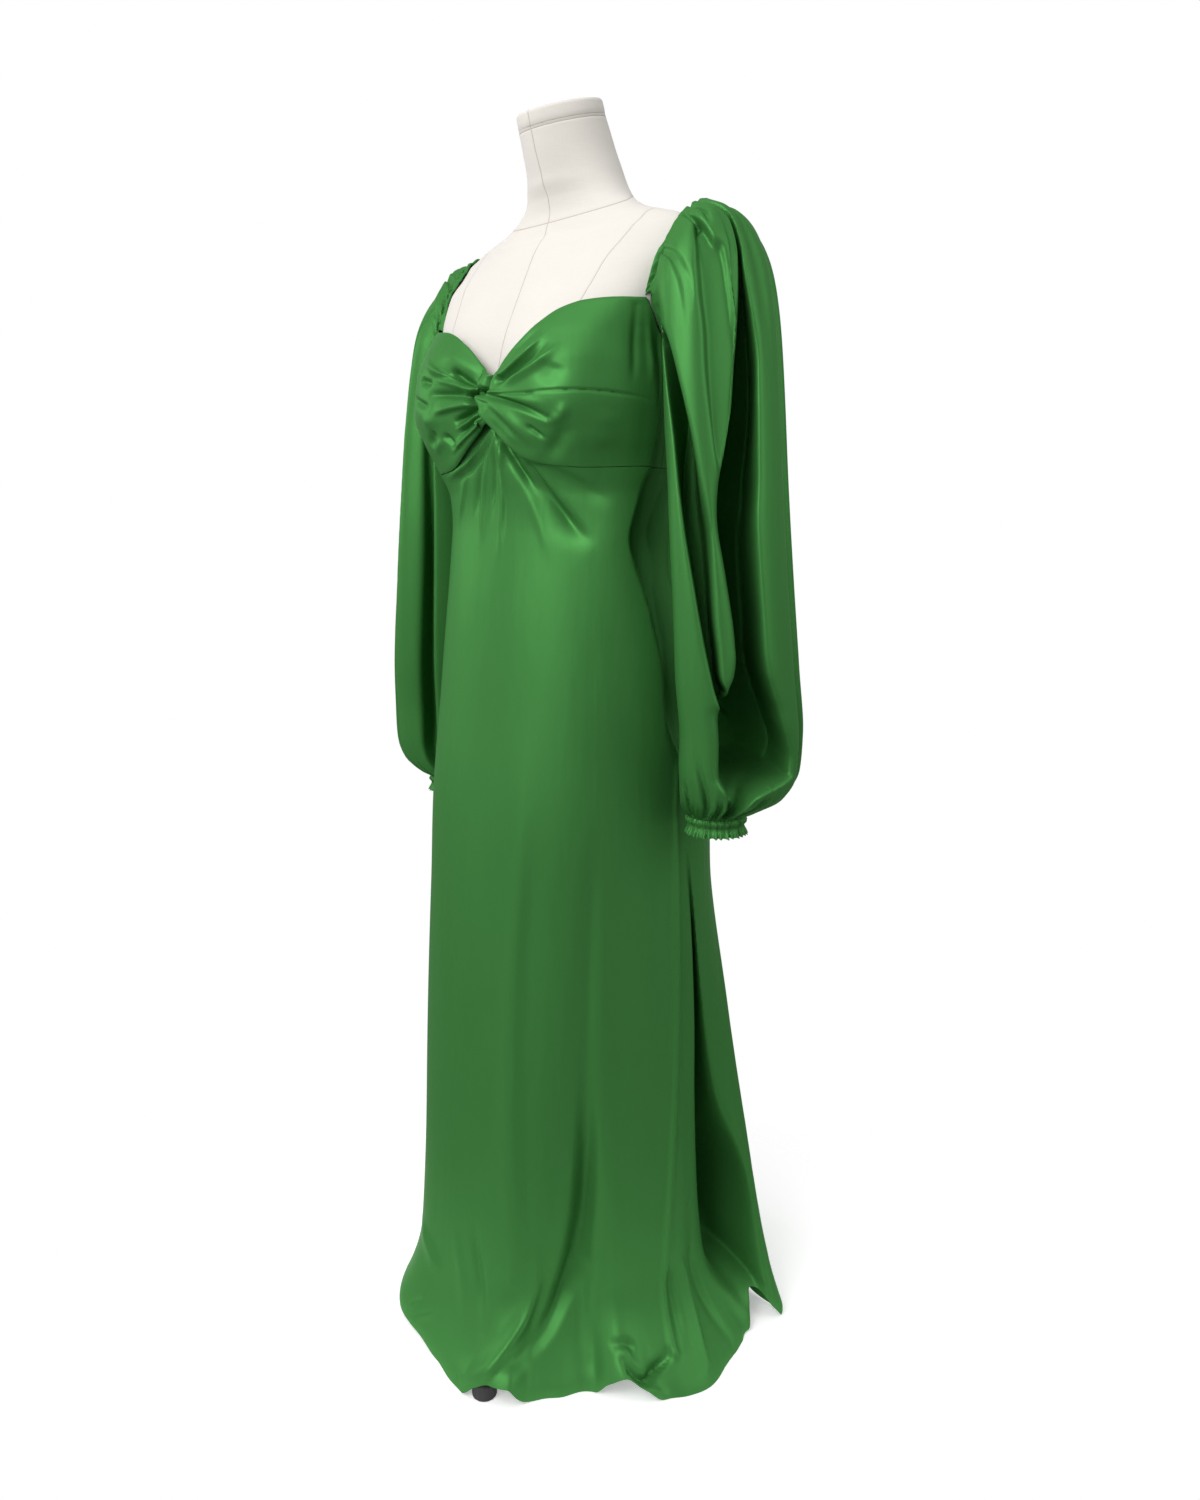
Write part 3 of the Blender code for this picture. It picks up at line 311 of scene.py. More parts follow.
BACK_CREASES = np.array([
    (92, 0.110, 94, 0.060, 97, 0.012, 5.0, -3.0, 0.2, 0.0, 0.5),
    (126, 0.460, 124, 0.250, 122, 0.060, 8.0, 3.5, 0.0, 0.0, 0.4),
    (140, 0.340, 137, 0.200, 134, 0.050, 6.0, -5.0, 0.2, 0.0, 0.4),
    (150, 0.080, 156, 0.050, 165, 0.020, 5.0, -5.0, 0.3, 0.2, 0.4),
    (165, 0.420, 164, 0.240, 160, 0.080, 9.0, 3.0, 0.0, 0.0, 0.4),
    (186, 0.120, 183, 0.070, 176, 0.030, 5.0, 4.0, 0.2, 0.0, 0.4),
    (196, 0.380, 197, 0.220, 200, 0.070, 8.0, -4.0, 0.0, 0.0, 0.4),
    (210, 0.070, 216, 0.040, 225, 0.015, 4.0, -5.0, 0.3, 0.2, 0.4),
    (222, 0.460, 226, 0.250, 232, 0.060, 8.0, 4.0, 0.2, 0.0, 0.5),
    (244, 0.420, 250, 0.230, 256, 0.050, 6.0, -6.0, 0.2, 0.0, 0.4),
    (262, 0.480, 264, 0.280, 268, 0.080, 4.0, 3.5, 0.3, 0.0, 0.4),
    (172, 0.870, 175, 0.780, 178, 0.640, 7.0, -1.6, 0.0, 0.6, 0.0),
    (150, 0.872, 147, 0.800, 144, 0.700, 6.0, 1.4, 0.0, 0.5, 0.0),
    (208, 0.872, 212, 0.790, 216, 0.690, 6.0, 1.6, 0.0, 0.5, 0.0),
    (232, 0.870, 236, 0.800, 240, 0.730, 5.0, -1.4, 0.0, 0.5, 0.0)])
BACK_BODICE = np.array([
    (112, 1.036, 118, 1.000, 132, 0.965, 6.0, 1.8, 0.2, 0.2, 0.0),
    (108, 1.020, 116, 0.980, 128, 0.940, 4.0, -1.6, 0.0, 0.2, 0.0),
    (248, 1.036, 242, 1.000, 230, 0.960, 6.0, 1.8, -0.2, 0.2, 0.0),
    (254, 1.010, 246, 0.975, 236, 0.945, 4.0, -1.6, 0.0, 0.2, 0.0),
    (160, 0.930, 180, 0.922, 200, 0.928, 6.0, -1.5, 0.0, 0.0, 0.0),
    (150, 0.910, 175, 0.903, 190, 0.906, 5.0, 1.3, 0.0, 0.0, 0.0)])

# ---------------------------------------------------------------- sleeve
# Rings from the armhole to the cuff.  half_depth is the oval's, from front to back.  slim
# draws in the front outer side of the right sleeve, and tuck the front inner side of the
# left one, in metres.
SLEEVE = Table("ring outer_x outer_z inner_x inner_z centre_y half_depth slim tuck", [
    (1, 0.192, 1.1540, 0.1635, 0.9995, 0.002, 0.0640, 0.014, 0.000),
    (2, 0.218, 1.1420, 0.1660, 0.9930, 0.002, 0.0720, 0.024, 0.000),
    (3, 0.237, 1.1050, 0.1675, 0.9750, 0.003, 0.0770, 0.021, 0.000),
    (4, 0.247, 1.0450, 0.1665, 0.9450, 0.004, 0.0800, 0.016, 0.002),
    (5, 0.253, 0.9600, 0.1650, 0.9000, 0.004, 0.0820, 0.010, 0.005),
    (6, 0.258, 0.8700, 0.1640, 0.8350, 0.004, 0.0820, 0.005, 0.008),
    (7, 0.264, 0.7750, 0.1650, 0.7600, 0.005, 0.0810, 0.001, 0.008),
    (8, 0.270, 0.6900, 0.1670, 0.6850, 0.007, 0.0790, 0.000, 0.005),
    (9, 0.274, 0.6250, 0.1700, 0.6250, 0.011, 0.0750, 0.000, 0.002),
    (10, 0.272, 0.5860, 0.1700, 0.5920, 0.011, 0.0710, 0.000, 0.000),
    (11, 0.261, 0.5630, 0.1695, 0.5680, 0.008, 0.0600, 0.000, 0.000),
    (12, 0.242, 0.5510, 0.1700, 0.5530, 0.003, 0.0430, 0.000, 0.000),
    (13, CUFF_X + CUFF_RADIUS, CUFF_Z, CUFF_X - CUFF_RADIUS, CUFF_Z, 0.000, CUFF_RADIUS,
     0.000, 0.000)])
LAST_RING = 13
UNDERCUT = 0.40           # share by which a deep trough is wider inside than at its mouth
FAR_WALL = 18             # millimetres that a trough stays off the sleeve's far side
DIAGONAL = math.sqrt(0.5)

# Troughs of the sleeves.  For each ring: the middle and half width in degrees round the
# sleeve (0 front, 90 outer, 180 back, 270 inner), how far the cloth goes in, in
# millimetres, the side it goes in from, in the same degrees, and the degrees by which each
# lip leans over the mouth.
def trough_tables(*groups):
    """One table for each group of rows."""
    return [Table("ring middle half depth aim lip_near lip_far", rows) for rows in groups]


LEFT_TROUGHS = trough_tables(
    # the gap between the front strip and the middle strip
    [(1.0, -28, 2, 0, 10, 0, 0), (1.95, -28, 2, 4, 10, 0, 0), (2.65, -28, 3.4, 20, 10, 1, 0),
     (3.0, -25, 4.5, 34, 10, 1, 0), (3.45, -18, 5.6, 46, 14, 2, 1),
     (4.25, -6, 7.4, 56, 22, 2, 2), (4.95, 6.8, 8.6, 62, 31, 2, 2),
     (5.4, 13.6, 9.4, 64, 37, 2, 2), (5.8, 18.2, 9.8, 64, 40, 2, 2), (6.3, 23.6, 9.8, 62, 42, 2, 2),
     (6.8, 27, 8.2, 60, 42, 2, 2), (7.3, 29.3, 6.4, 58, 43, 2, 2),
     (7.75, 31.3, 5, 54, 43, 2, 1), (8.05, 33.0, 4.2, 52, 44, 2, 1),
     (8.25, 35.5, 4.8, 52, 45, 2, 0), (8.4, 38, 5.5, 58, 46, 2, 0), (8.55, 42, 7, 66, 48, 1, 0),
     (8.8, 50, 8, 50, 48, 0, 0), (9.1, 60, 8, 0, 48, 0, 0), (13, 60, 8, 0, 48, 0, 0)],
    # the plane behind the middle strip's fold
    [(1.0, 50, 2, 0, 45, 0, 0), (1.7, 47, 3, 8, 45, 2, 0), (2.0, 46.5, 3.5, 15, 45, 3, 0),
     (2.3, 45.5, 6, 12, 45, 3, 0), (2.75, 45.5, 9, 12, 45, 3, 0),
     (3.0, 48, 13, 12, 45, 3, 0), (3.5, 48, 14, 13, 45, 3, 0), (4.35, 50, 14, 14, 45, 4, 0),
     (5.15, 49, 10, 14, 45, 4, 0), (5.6, 48, 6, 12, 45, 3, 0), (6.1, 47, 3, 0, 45, 0, 0),
     (13, 47, 3, 0, 45, 0, 0)],
    # a light ridge and a small valley between that plane and the hollow
    [(1.0, 71, 3, 0, 60, 0, 0), (2.6, 72, 3, 2, 60, 0, 0), (3.0, 71.5, 3.5, 4, 60, 2, 0),
     (3.5, 69.5, 4, 5, 60, 2, 0), (4.1, 68, 3, 5, 60, 1, 0), (4.6, 64, 2, 0, 60, 0, 0),
     (13, 64, 2, 0, 60, 0, 0)],
    # the great hollow between the middle strip and the outer strip
    [(1.0, 71, 2.5, 5, 65, 1, 0), (1.5, 72.5, 2.5, 7, 65, 1, 0), (2.1, 76, 2.5, 8, 62, 1, 0),
     (2.5, 79, 2.2, 14, 60, 1, 0), (3.05, 79, 2.6, 30, 58, 1, 1), (3.45, 77, 3.8, 44, 55, 2, 2),
     (4.1, 75.7, 7, 62, 52, 2, 2), (4.6, 74.2, 10.4, 74, 50, 3, 2), (5.1, 72, 11.6, 82, 48, 3, 3),
     (5.6, 67.5, 13.6, 86, 48, 3, 3), (6.0, 63.2, 15.4, 88, 47, 3, 3),
     (6.35, 61, 14.6, 94, 47, 3, 3), (6.85, 62.7, 12.9, 96, 47, 3, 3),
     (7.35, 64.5, 11.6, 98, 47, 3, 3), (7.75, 65.3, 10.9, 100, 48, 2, 3),
     (8.0, 64.5, 12.4, 102, 48, 2, 3), (8.15, 63.5, 15, 103, 48, 2, 3),
     (8.35, 61.5, 19, 104, 48, 1, 3), (8.5, 60, 22.5, 104, 48, 1, 3),
     (8.75, 61, 24, 104, 48, 1, 3), (9.15, 64, 27, 102, 48, 1, 3), (9.5, 65.5, 28.5, 98, 49, 1, 3),
     (9.9, 65.5, 27.5, 86, 50, 0, 2), (10.1, 61, 22, 74, 51, 0, 1), (10.3, 55, 15, 60, 52, 0, 1),
     (10.6, 51, 10, 44, 53, 0, 0), (11.2, 50, 7.5, 26, 54, 0, 0), (12, 50, 6, 14, 55, 0, 0),
     (13, 50, 4, 0, 55, 0, 0)],
    # creases that fall from the neck edge
    [(1.0, 60.5, 2.6, 6, 60, 1, 0), (1.6, 59.5, 2.6, 6, 60, 1, 0), (2.2, 58.5, 2.4, 3, 60, 0, 0),
     (2.6, 58, 2.4, 0, 60, 0, 0), (13, 58, 2.4, 0, 60, 0, 0)],
    [(1.0, 94, 4, 4, 95, 1, 0), (2.0, 92, 4.5, 4, 95, 1, 0), (3.5, 97, 5, 3, 95, 0, 0),
     (5, 100, 5, 0, 95, 0, 0), (13, 100, 5, 0, 95, 0, 0)],
    [(1.0, 14, 3, 4, 15, 1, 0), (2.0, 15, 4, 4, 15, 1, 0), (3.2, 22, 5, 2, 15, 0, 0),
     (4, 24, 5, 0, 15, 0, 0), (13, 24, 5, 0, 15, 0, 0)],
    # soft folds of the front strip above the cuff, and the gathers under the hollow
    [(1, 4, 4, 0, 0, 0, 0), (8.8, 4, 4, 0, 0, 0, 0), (9.8, 8, 4, 3, 0, 1, 0),
     (11, 13, 4.5, 7, 0, 2, 0), (12.2, 14, 4, 6, 0, 1, 0), (13, 15, 4, 0, 0, 0, 0)],
    [(1, -16, 4, 0, 0, 0, 0), (10, -16, 4, 0, 0, 0, 0), (11, -14, 4, 5, 0, 1, 0),
     (12.2, -12, 4, 5, 0, 0, 0), (13, -12, 4, 0, 0, 0, 0)],
    [(1, 30, 3, 0, 30, 0, 0), (10.4, 30, 3, 0, 30, 0, 0), (11.2, 31, 3.5, 5, 30, 1, 0),
     (12.3, 31, 3.5, 6, 30, 1, 0), (13, 31, 3, 0, 30, 0, 0)],
    [(1, 78, 4, 0, 80, 0, 0), (10.4, 78, 4, 0, 80, 0, 0), (11.2, 74, 4, 6, 80, 1, 0),
     (12.3, 72, 4, 7, 80, 1, 0), (13, 72, 3, 0, 80, 0, 0)],
    # the outer strip, the back and the inner side
    [(1, 122, 5, 5, 115, 1, 0), (2, 122, 6, 8, 115, 2, 0), (4, 124, 7, 7, 115, 1, 0),
     (7, 126, 8, 5, 115, 0, 0), (9, 126, 8, 8, 115, 1, 0), (12, 122, 7, 6, 115, 0, 0),
     (13, 122, 7, 0, 115, 0, 0)],
    [(1, 152, 5, 6, 150, 1, 1), (3, 154, 8, 12, 150, 2, 2), (6, 158, 9, 12, 155, 3, 2),
     (9, 160, 9, 12, 160, 3, 2), (11, 160, 8, 12, 160, 0, 0), (13, 160, 6, 0, 160, 0, 0)],
    [(1, 196, 5, 4, 190, 1, 0), (4, 198, 8, 9, 195, 2, 0), (7, 202, 9, 10, 200, 2, 1),
     (10, 204, 9, 10, 200, 1, 0), (13, 204, 5, 0, 190, 0, 0)],
    [(2, 240, 6, 2, 250, 0, 0), (5, 240, 9, 8, 245, 1, 0), (9, 240, 10, 9, 240, 1, 1),
     (12, 240, 8, 9, 240, 0, 0), (13, 240, 6, 0, 250, 0, 0)],
    [(3, 285, 6, 4, 295, 0, 0), (6, 282, 8, 9, 290, 1, 0), (9, 280, 9, 10, 290, 1, 1),
     (12, 278, 7, 8, 285, 0, 0), (13, 278, 5, 0, 285, 0, 0)])
RIGHT_TROUGHS = trough_tables(
    [(3, -34, 4, 5, -35, 0, 0), (5, -37, 5, 12, -35, 1, 1), (7, -38, 6, 30, -30, 2, 2),
     (9, -38, 7, 34, -30, 2, 2), (11, -36, 6, 20, -30, 0, 0), (13, -36, 4, 0, -30, 0, 0)],
    [(2, 10, 5, 3, 10, 0, 0), (4, 14, 8, 6, 15, 1, 0), (8, 22, 9, 6, 20, 1, 0),
     (11, 22, 7, 8, 20, 0, 0), (13, 22, 5, 0, 20, 0, 0)],
    [(1, 52, 4, 5, 50, 1, 0), (3, 55, 7, 20, 50, 2, 1), (6, 62, 10, 42, 52, 3, 2),
     (9, 66, 13, 50, 55, 3, 2), (11, 66, 10, 26, 60, 0, 0), (13, 66, 6, 0, 60, 0, 0)],
    [(1, 98, 5, 6, 100, 1, 0), (4, 104, 8, 12, 100, 2, 0), (8, 110, 9, 16, 105, 1, 1),
     (12, 112, 8, 8, 105, 0, 0), (13, 112, 5, 0, 105, 0, 0)],
    [(1, 140, 5, 8, 145, 1, 1), (3, 142, 8, 24, 145, 2, 2), (6, 150, 12, 46, 150, 3, 3),
     (9, 158, 14, 52, 155, 3, 3), (11, 158, 10, 26, 158, 0, 0), (13, 158, 6, 0, 158, 0, 0)],
    [(1, 186, 5, 6, 190, 1, 0), (5, 194, 8, 16, 190, 2, 0), (9, 200, 9, 20, 190, 1, 1),
     (13, 200, 5, 0, 190, 0, 0)],
    [(2, 240, 6, 3, 245, 0, 0), (6, 240, 9, 10, 245, 1, 0), (10, 244, 10, 14, 245, 1, 1),
     (13, 244, 6, 0, 245, 0, 0)])

# the elastic neck edge over each shoulder, from the front corner (0) to the back one (180)
LEFT_CASING = Table("turn x y z", [
    (0, 0.1560, -0.0555, NECKLINE_Z + 0.0010),
    (45, 0.1610, -0.0350, 1.0990),
    (68, 0.1640, -0.0180, 1.1270),
    (90, 0.1600, 0.0000, 1.1495),
    (135, 0.1510, 0.0390, 1.1060),
    (180, 0.1545, 0.0610, NECKLINE_Z + 0.0010)])
RIGHT_CASING = Table("turn x y z", [
    (0, 0.1575, -0.0600, NECKLINE_Z + 0.0005),
    (45, 0.1550, -0.0450, 1.1000),
    (68, 0.1560, -0.0260, 1.1290),
    (90, 0.1575, 0.0020, 1.1480),
    (135, 0.1500, 0.0390, 1.1060),
    (180, 0.1545, 0.0610, NECKLINE_Z + 0.0010)])
CASING_CLEAR = 0.0032     # from the form
CORNER_SPREAD = 0.10      # lean of the casing at its corners, and on top of the shoulder
SHOULDER_SLOPE = 0.34
SHOULDER_Y, SHOULDER_Z = 0.004, 1.095


# ---------------------------------------------------------------- shapes as functions
def polar(angle, radius, z):
    """Points at an angle from the front (degrees, + towards the wearer's left)."""
    a = np.radians(angle)
    return np.stack([radius * np.sin(a), -radius * np.cos(a), z + 0 * radius], -1)


def bell(x):
    """e to the power of minus x squared: 1 at 0, and fading on both sides."""
    return np.exp(-np.square(x))


def smooth(x):
    """0 below 0, 1 above 1, and 3x^2 - 2x^3 between."""
    x = np.clip(x, 0, 1)
    return x * x * (3 - 2 * x)


def turn_to(angle, target):
    """Signed degrees from target to angle, between -180 and 180."""
    return (angle - target + 180) % 360 - 180


def section_radius(table, angle, z, bust_width):
    """Superellipse of half width by front or back depth, plus two bust bells."""
    a = np.radians(angle)
    n = table.at("squareness", z)
    depth = np.where(np.cos(a) > 0, table.at("front", z), table.at("back", z))
    across = np.abs(np.sin(a)) / table.at("half_width", z)
    base = (across ** n + (np.abs(np.cos(a)) / depth) ** n) ** (-1 / n)
    off = (np.abs(turn_to(angle, 0)) - BUST_ANGLE) / bust_width
    return base + table.at("bust", z) * bell(off)


def dress_radius(angle, z):
    """Bodice and skirt: the section, the long folds, the side recess and the hem's spread.

    Down to just below the form, the cloth also stays OFF_BODY outside the form.
    """
    radius = section_radius(DRESS, angle, z, DRESS_BUST_WIDTH)
    for top_at, hem_at, top_width, hem_width, top, depth in SKIRT_FOLDS:
        way = np.clip(1 - z / top, 0, 1)
        centre = top_at + (hem_at - top_at) * way
        width = top_width + (hem_width - top_width) * way
        radius = radius + depth * way ** 1.6 * bell(turn_to(angle, centre) / width)
    side = turn_to(angle, 0)
    past_edge = side - SIDE_RECESS.at("edge", z)
    back_out = 1 - smooth((side - RECESS_BACK) / RECESS_BACK_FADE)
    fallen = smooth(past_edge / RECESS_STEP) * back_out
    before = bell(past_edge / RECESS_BEFORE)
    radius = radius + SIDE_RECESS.at("lift", z) * before - SIDE_RECESS.at("depth", z) * fallen
    body = section_radius(FORM, angle, z, BUST_WIDTH) + OFF_BODY
    radius = np.where(z > FORM_LOW - 0.02, np.maximum(radius, body), radius)
    spread = np.clip(1 - z / HEM_SPREAD_Z, 0, 1) ** 2
    return radius + HEM.at("spread", side) * spread


def side_pleat(angle, z):
    """How far the pleat goes in, and how many degrees it lies round, at places of the skirt."""
    off = turn_to(angle, SIDE_PLEAT.at("middle", z)) / SIDE_PLEAT.at("half", z)
    share = 1 / (1 + np.abs(off) ** 7)
    return SIDE_PLEAT.at("depth", z) * share, SIDE_PLEAT.at("lean", z) * share


def bodice_top(angle):
    """Upper edge: the fronts' neckline, a straight back, and each armhole as a parabola."""
    off = np.abs(np.abs(turn_to(angle, 0)) - 90)
    armhole = UNDERARM_Z + (NECKLINE_Z - UNDERARM_Z) * (off / ARMHOLE_HALF) ** 2
    is_front = np.abs(turn_to(angle, 0)) < 90
    back_dip = (NECKLINE_Z - BACK_NECK_Z) * np.clip((off - ARMHOLE_HALF) / BACK_DIP_OVER, 0, 1)
    edge = np.where(is_front, FRONT_EDGES.at("upper", turn_to(angle, 0)), NECKLINE_Z - back_dip)
    return np.where(off < ARMHOLE_HALF, np.minimum(armhole, edge), edge)


def grid_normals(grid, closed):
    """Unit normals of a grid whose rows run down and whose columns run left round."""
    down = np.gradient(grid, axis=0)
    if closed:
        around = np.roll(grid, -1, 1) - np.roll(grid, 1, 1)
    else:
        around = np.gradient(grid, axis=1)
    normal = np.cross(down, around)
    return normal / np.maximum(np.linalg.norm(normal, axis=-1, keepdims=True), 1e-12)


def along_bends(start, via, end):
    """Points of the quadratic curve from start, bent towards via, to end."""
    t = np.linspace(0, 1, 14)[:, None]
    return start * (1 - t) ** 2 + via * 2 * t * (1 - t) + end * t * t


def with_creases(grid, angle, z, creases, strength):
    """The grid with each crease added along its normals.

    For each crease the nearest point of its curve gives the distance to one side, d, and the
    way along, t.  The height is a bell of d, narrower on the side it leans to, times the
    share that is left at t, and the top moves sideways by half the height times the lean.
    """
    normal = grid_normals(grid, False)
    around = np.stack([np.cos(np.radians(angle)), np.sin(np.radians(angle)), 0 * angle], -1)
    upward = np.cross(normal, around)
    place = np.stack([np.radians(angle) * FRONT_RADIUS, z], -1)
    moved = grid.copy()
    for row in creases:
        path = along_bends(*row[:6].reshape(3, 2) * (math.pi / 180 * FRONT_RADIUS, 1))
        width, height, lean, start, end = row[6:] * (0.001, 0.001 * strength, 1, 1, 1)
        best = np.full(angle.shape, np.inf)
        side = np.zeros(angle.shape)
        way = np.zeros(angle.shape)
        across = np.zeros(angle.shape + (2,))
        for k, (a, b) in enumerate(zip(path[:-1], path[1:])):
            step = b - a
            length = np.linalg.norm(step)
            step = step / length
            along = np.clip((place - a) @ step, 0, length)
            off = place - a - along[..., None] * step
            distance = np.linalg.norm(off, axis=-1)
            left = np.array([-step[1], step[0]])
            nearer = distance < best
            best = np.where(nearer, distance, best)
            side = np.where(nearer, np.sign(off @ left) * distance, side)
            way = np.where(nearer, (k + along / length) / (len(path) - 1), way)
            across = np.where(nearer[..., None], left, across)
        span = width * (1 - lean * np.tanh(side / width))
        share = ((start + (1 - start) * smooth(way / 0.35))
                 * (end + (1 - end) * smooth((1 - way) / 0.35)))
        rise = height * bell(side / span) * share
        shift = 0.5 * lean * rise[..., None]
        moved += normal * rise[..., None]
        moved += shift * (around * across[..., :1] + upward * across[..., 1:])
    return moved


# ---------------------------------------------------------------- meshes
DOWN, ACROSS = np.array([0, 1, 1, 0]), np.array([0, 0, 1, 1])     # corners of a grid's quad


def add_mesh(name, points, faces, uv, finish, sharp=70):
    """An object from points, quads and one texture place for each corner of each quad.

    Edges that bend more than sharp, in degrees, stay sharp.
    """
    mesh = bpy.data.meshes.new(name)
    mesh.from_pydata(points.astype(np.float32), [], faces)
    mesh.uv_layers.new(name="cloth").data.foreach_set("uv", uv.astype(np.float32).ravel())
    mesh.materials.append(finish)
    mesh.shade_smooth()
    mesh.set_sharp_from_angle(angle=math.radians(sharp))
    piece = bpy.data.objects.new(name, mesh)
    bpy.context.scene.collection.objects.link(piece)
    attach(piece, "root")
    return piece


def cloth_places(grid, closed):
    """Texture places in metres along the cloth: mean lengths along rows and columns."""
    ring = np.concatenate([grid, grid[:, :1]], 1) if closed else grid
    around = np.linalg.norm(np.diff(ring, axis=1), axis=-1).mean(0)
    down = np.linalg.norm(np.diff(grid, axis=0), axis=-1).mean(1)
    u = np.concatenate([[0], np.cumsum(around)])
    v = np.concatenate([[0], np.cumsum(down)])
    return np.stack(np.broadcast_arrays(u[None, :], -v[:, None]), -1)


def add_shell(name, grid, finish, thickness, closed=False):
    """A thin shell: the grid is its outer face, and the inner one lies a thickness inside.

    Rims join the two faces, so the piece is closed.  Where a fold is tighter than the
    cloth, the inner face stays on its own side, because the thickness is small.
    """
    rows, columns = grid.shape[:2]
    spans = columns if closed else columns - 1
    places = cloth_places(grid, closed)
    inner = grid - grid_normals(grid, closed) * thickness
    points = np.concatenate([grid.reshape(-1, 3), inner.reshape(-1, 3)])

    def corners(layer, i, j):
        """Vertex numbers and texture places, four to a quad, from layers, rows and columns."""
        layer, i, j = np.broadcast_arrays(layer, i, j)
        vertex = layer * rows * columns + i * columns + j % columns
        return vertex.reshape(-1, 4), places[i, j].reshape(-1, 4, 2)

    i, j = [g.reshape(-1, 1) for g in np.mgrid[0:rows - 1, 0:spans]]
    parts = [corners(0, i + DOWN, j + ACROSS), corners(1, i + DOWN[::-1], j + ACROSS[::-1])]
    j = np.arange(spans)[:, None]
    parts.append(corners(ACROSS, 0 * j, j + DOWN))
    parts.append(corners(ACROSS, 0 * j + rows - 1, j + 1 - DOWN))
    if not closed:
        i = np.arange(rows - 1)[:, None]
        parts.append(corners(ACROSS, i + 1 - DOWN, 0 * i))
        parts.append(corners(ACROSS, i + DOWN, 0 * i + columns - 1))
    faces = np.concatenate([p[0] for p in parts])
    uv = np.concatenate([p[1] for p in parts])
    return add_mesh(name, points, faces, uv, finish)


def add_solid(name, rings, finish, sharp=40):
    """A closed solid through rings of points, bottom to top, each end closed to a point."""
    around = rings.shape[1]
    ends = [np.repeat(r.mean(0, keepdims=True), around, 0)[None] for r in (rings[0], rings[-1])]
    caps = [ends[0], rings[:1] * 0.5 + ends[0] * 0.5, rings, rings[-1:] * 0.5 + ends[1] * 0.5,
            ends[1]]
    grid = np.concatenate(caps)
    rows = len(grid)
    i, j = [g.reshape(-1, 1) for g in np.mgrid[0:rows - 1, 0:around]]
    faces = (i + ACROSS) * around + (j + DOWN) % around
    uv = np.stack([(j + DOWN) / around, (i + ACROSS) / rows], -1)
    piece = add_mesh(name, grid.reshape(-1, 3), faces, uv, finish, sharp)
    weld = piece.modifiers.new("close ends", "WELD")
    weld.merge_threshold = 0.00001
    return piece


# ---------------------------------------------------------------- shader maths
def applied(operation, swapped=False):
    """A method that adds one Math node for an operator, or for its reflected form."""
    def method(self, other=0.0):
        """The operation on this socket and another socket or number."""
        return self.sum_of(operation, *((other, self) if swapped else (self, other)))
    return method


class Maths:
    """A socket whose operators add Math nodes to its tree, so that sums read as sums."""

    def __init__(self, tree, socket):
        self.tree, self.socket = tree, socket

    def node(self, kind, settings=None, **inputs):
        """Any node: its settings first, then the values or links of its named sockets."""
        made = self.tree.nodes.new(kind)
        for name, value in (settings or {}).items():
            setattr(made, name, value)
        for name, value in inputs.items():
            numbered = name[0] == "i" and name[1:].isdigit()
            self.fill(made.inputs[int(name[1:]) if numbered else name], value)
        return made

    def fill(self, socket, value):
        """A socket gets a link, or a plain value."""
        if isinstance(value, Maths):
            self.tree.links.new(value.socket, socket)
        else:
            socket.default_value = value

    def out(self, kind, output, settings=None, **inputs):
        """One output of a new node, by its name or number."""
        return Maths(self.tree, self.node(kind, settings, **inputs).outputs[output])

    def sum_of(self, operation, a, b=0.0, clamp=False):
        """The result of one Math node."""
        made = self.tree.nodes.new("ShaderNodeMath")
        made.operation, made.use_clamp = operation, clamp
        for socket, value in zip(made.inputs, (a, b)):
            self.fill(socket, value)
        return Maths(self.tree, made.outputs[0])

    __add__, __radd__ = applied("ADD"), applied("ADD", True)
    __sub__, __rsub__ = applied("SUBTRACT"), applied("SUBTRACT", True)
    __mul__, __rmul__ = applied("MULTIPLY"), applied("MULTIPLY", True)
    __truediv__, __pow__ = applied("DIVIDE"), applied("POWER")
    __abs__, wave = applied("ABSOLUTE"), applied("SINE")
    least = applied("MINIMUM")

    def clamped(self):
        """The same value, kept between 0 and 1."""
        return self.sum_of("ADD", self, 0.0, clamp=True)


def new_material(name, colour, roughness):
    """A material with one Principled shader, and the start of its shader maths."""
    made = bpy.data.materials.new(name)
    made.use_nodes = True
    made.diffuse_color = (*colour, 1)
    shader = made.node_tree.nodes["Principled BSDF"]
    shader.inputs["Roughness"].default_value = roughness
    return made, shader, Maths(made.node_tree, None)


def feed(maths, shader, **values):
    """Links or values for the shader's sockets, whose names are joined by _ here."""
    for name, value in values.items():
        maths.fill(shader.inputs[name.replace("_", " ")], value)


def bumped(maths, height):
    """The normal of a surface raised by a height in metres."""
    return maths.out("ShaderNodeBump", 0, None, Strength=1.0, Distance=1.0, Height=height)


def shade_of(colour, factor):
    """A colour times a factor, up to 1, with its alpha."""
    return [min(c * factor, 1) for c in colour] + [1]


def xyz(maths, source="Object"):
    """The three numbers of the object's own place, or of the cloth's texture place."""
    place = maths.node("ShaderNodeTexCoord").outputs[source]
    parts = maths.node("ShaderNodeSeparateXYZ", Vector=Maths(maths.tree, place))
    return [Maths(maths.tree, parts.outputs[k]) for k in range(3)]


def point(maths, x, y, z):
    """Three numbers as one place."""
    return maths.out("ShaderNodeCombineXYZ", 0, X=x, Y=y, Z=z)


def noise(maths, place, scale, detail=2.0, roughness=0.5):
    """Noise from 0 to 1 at a place, with scale waves to the metre and detail octaves."""
    return maths.out("ShaderNodeTexNoise", 0, None, Vector=place, Scale=scale, Detail=detail,
                     Roughness=roughness)


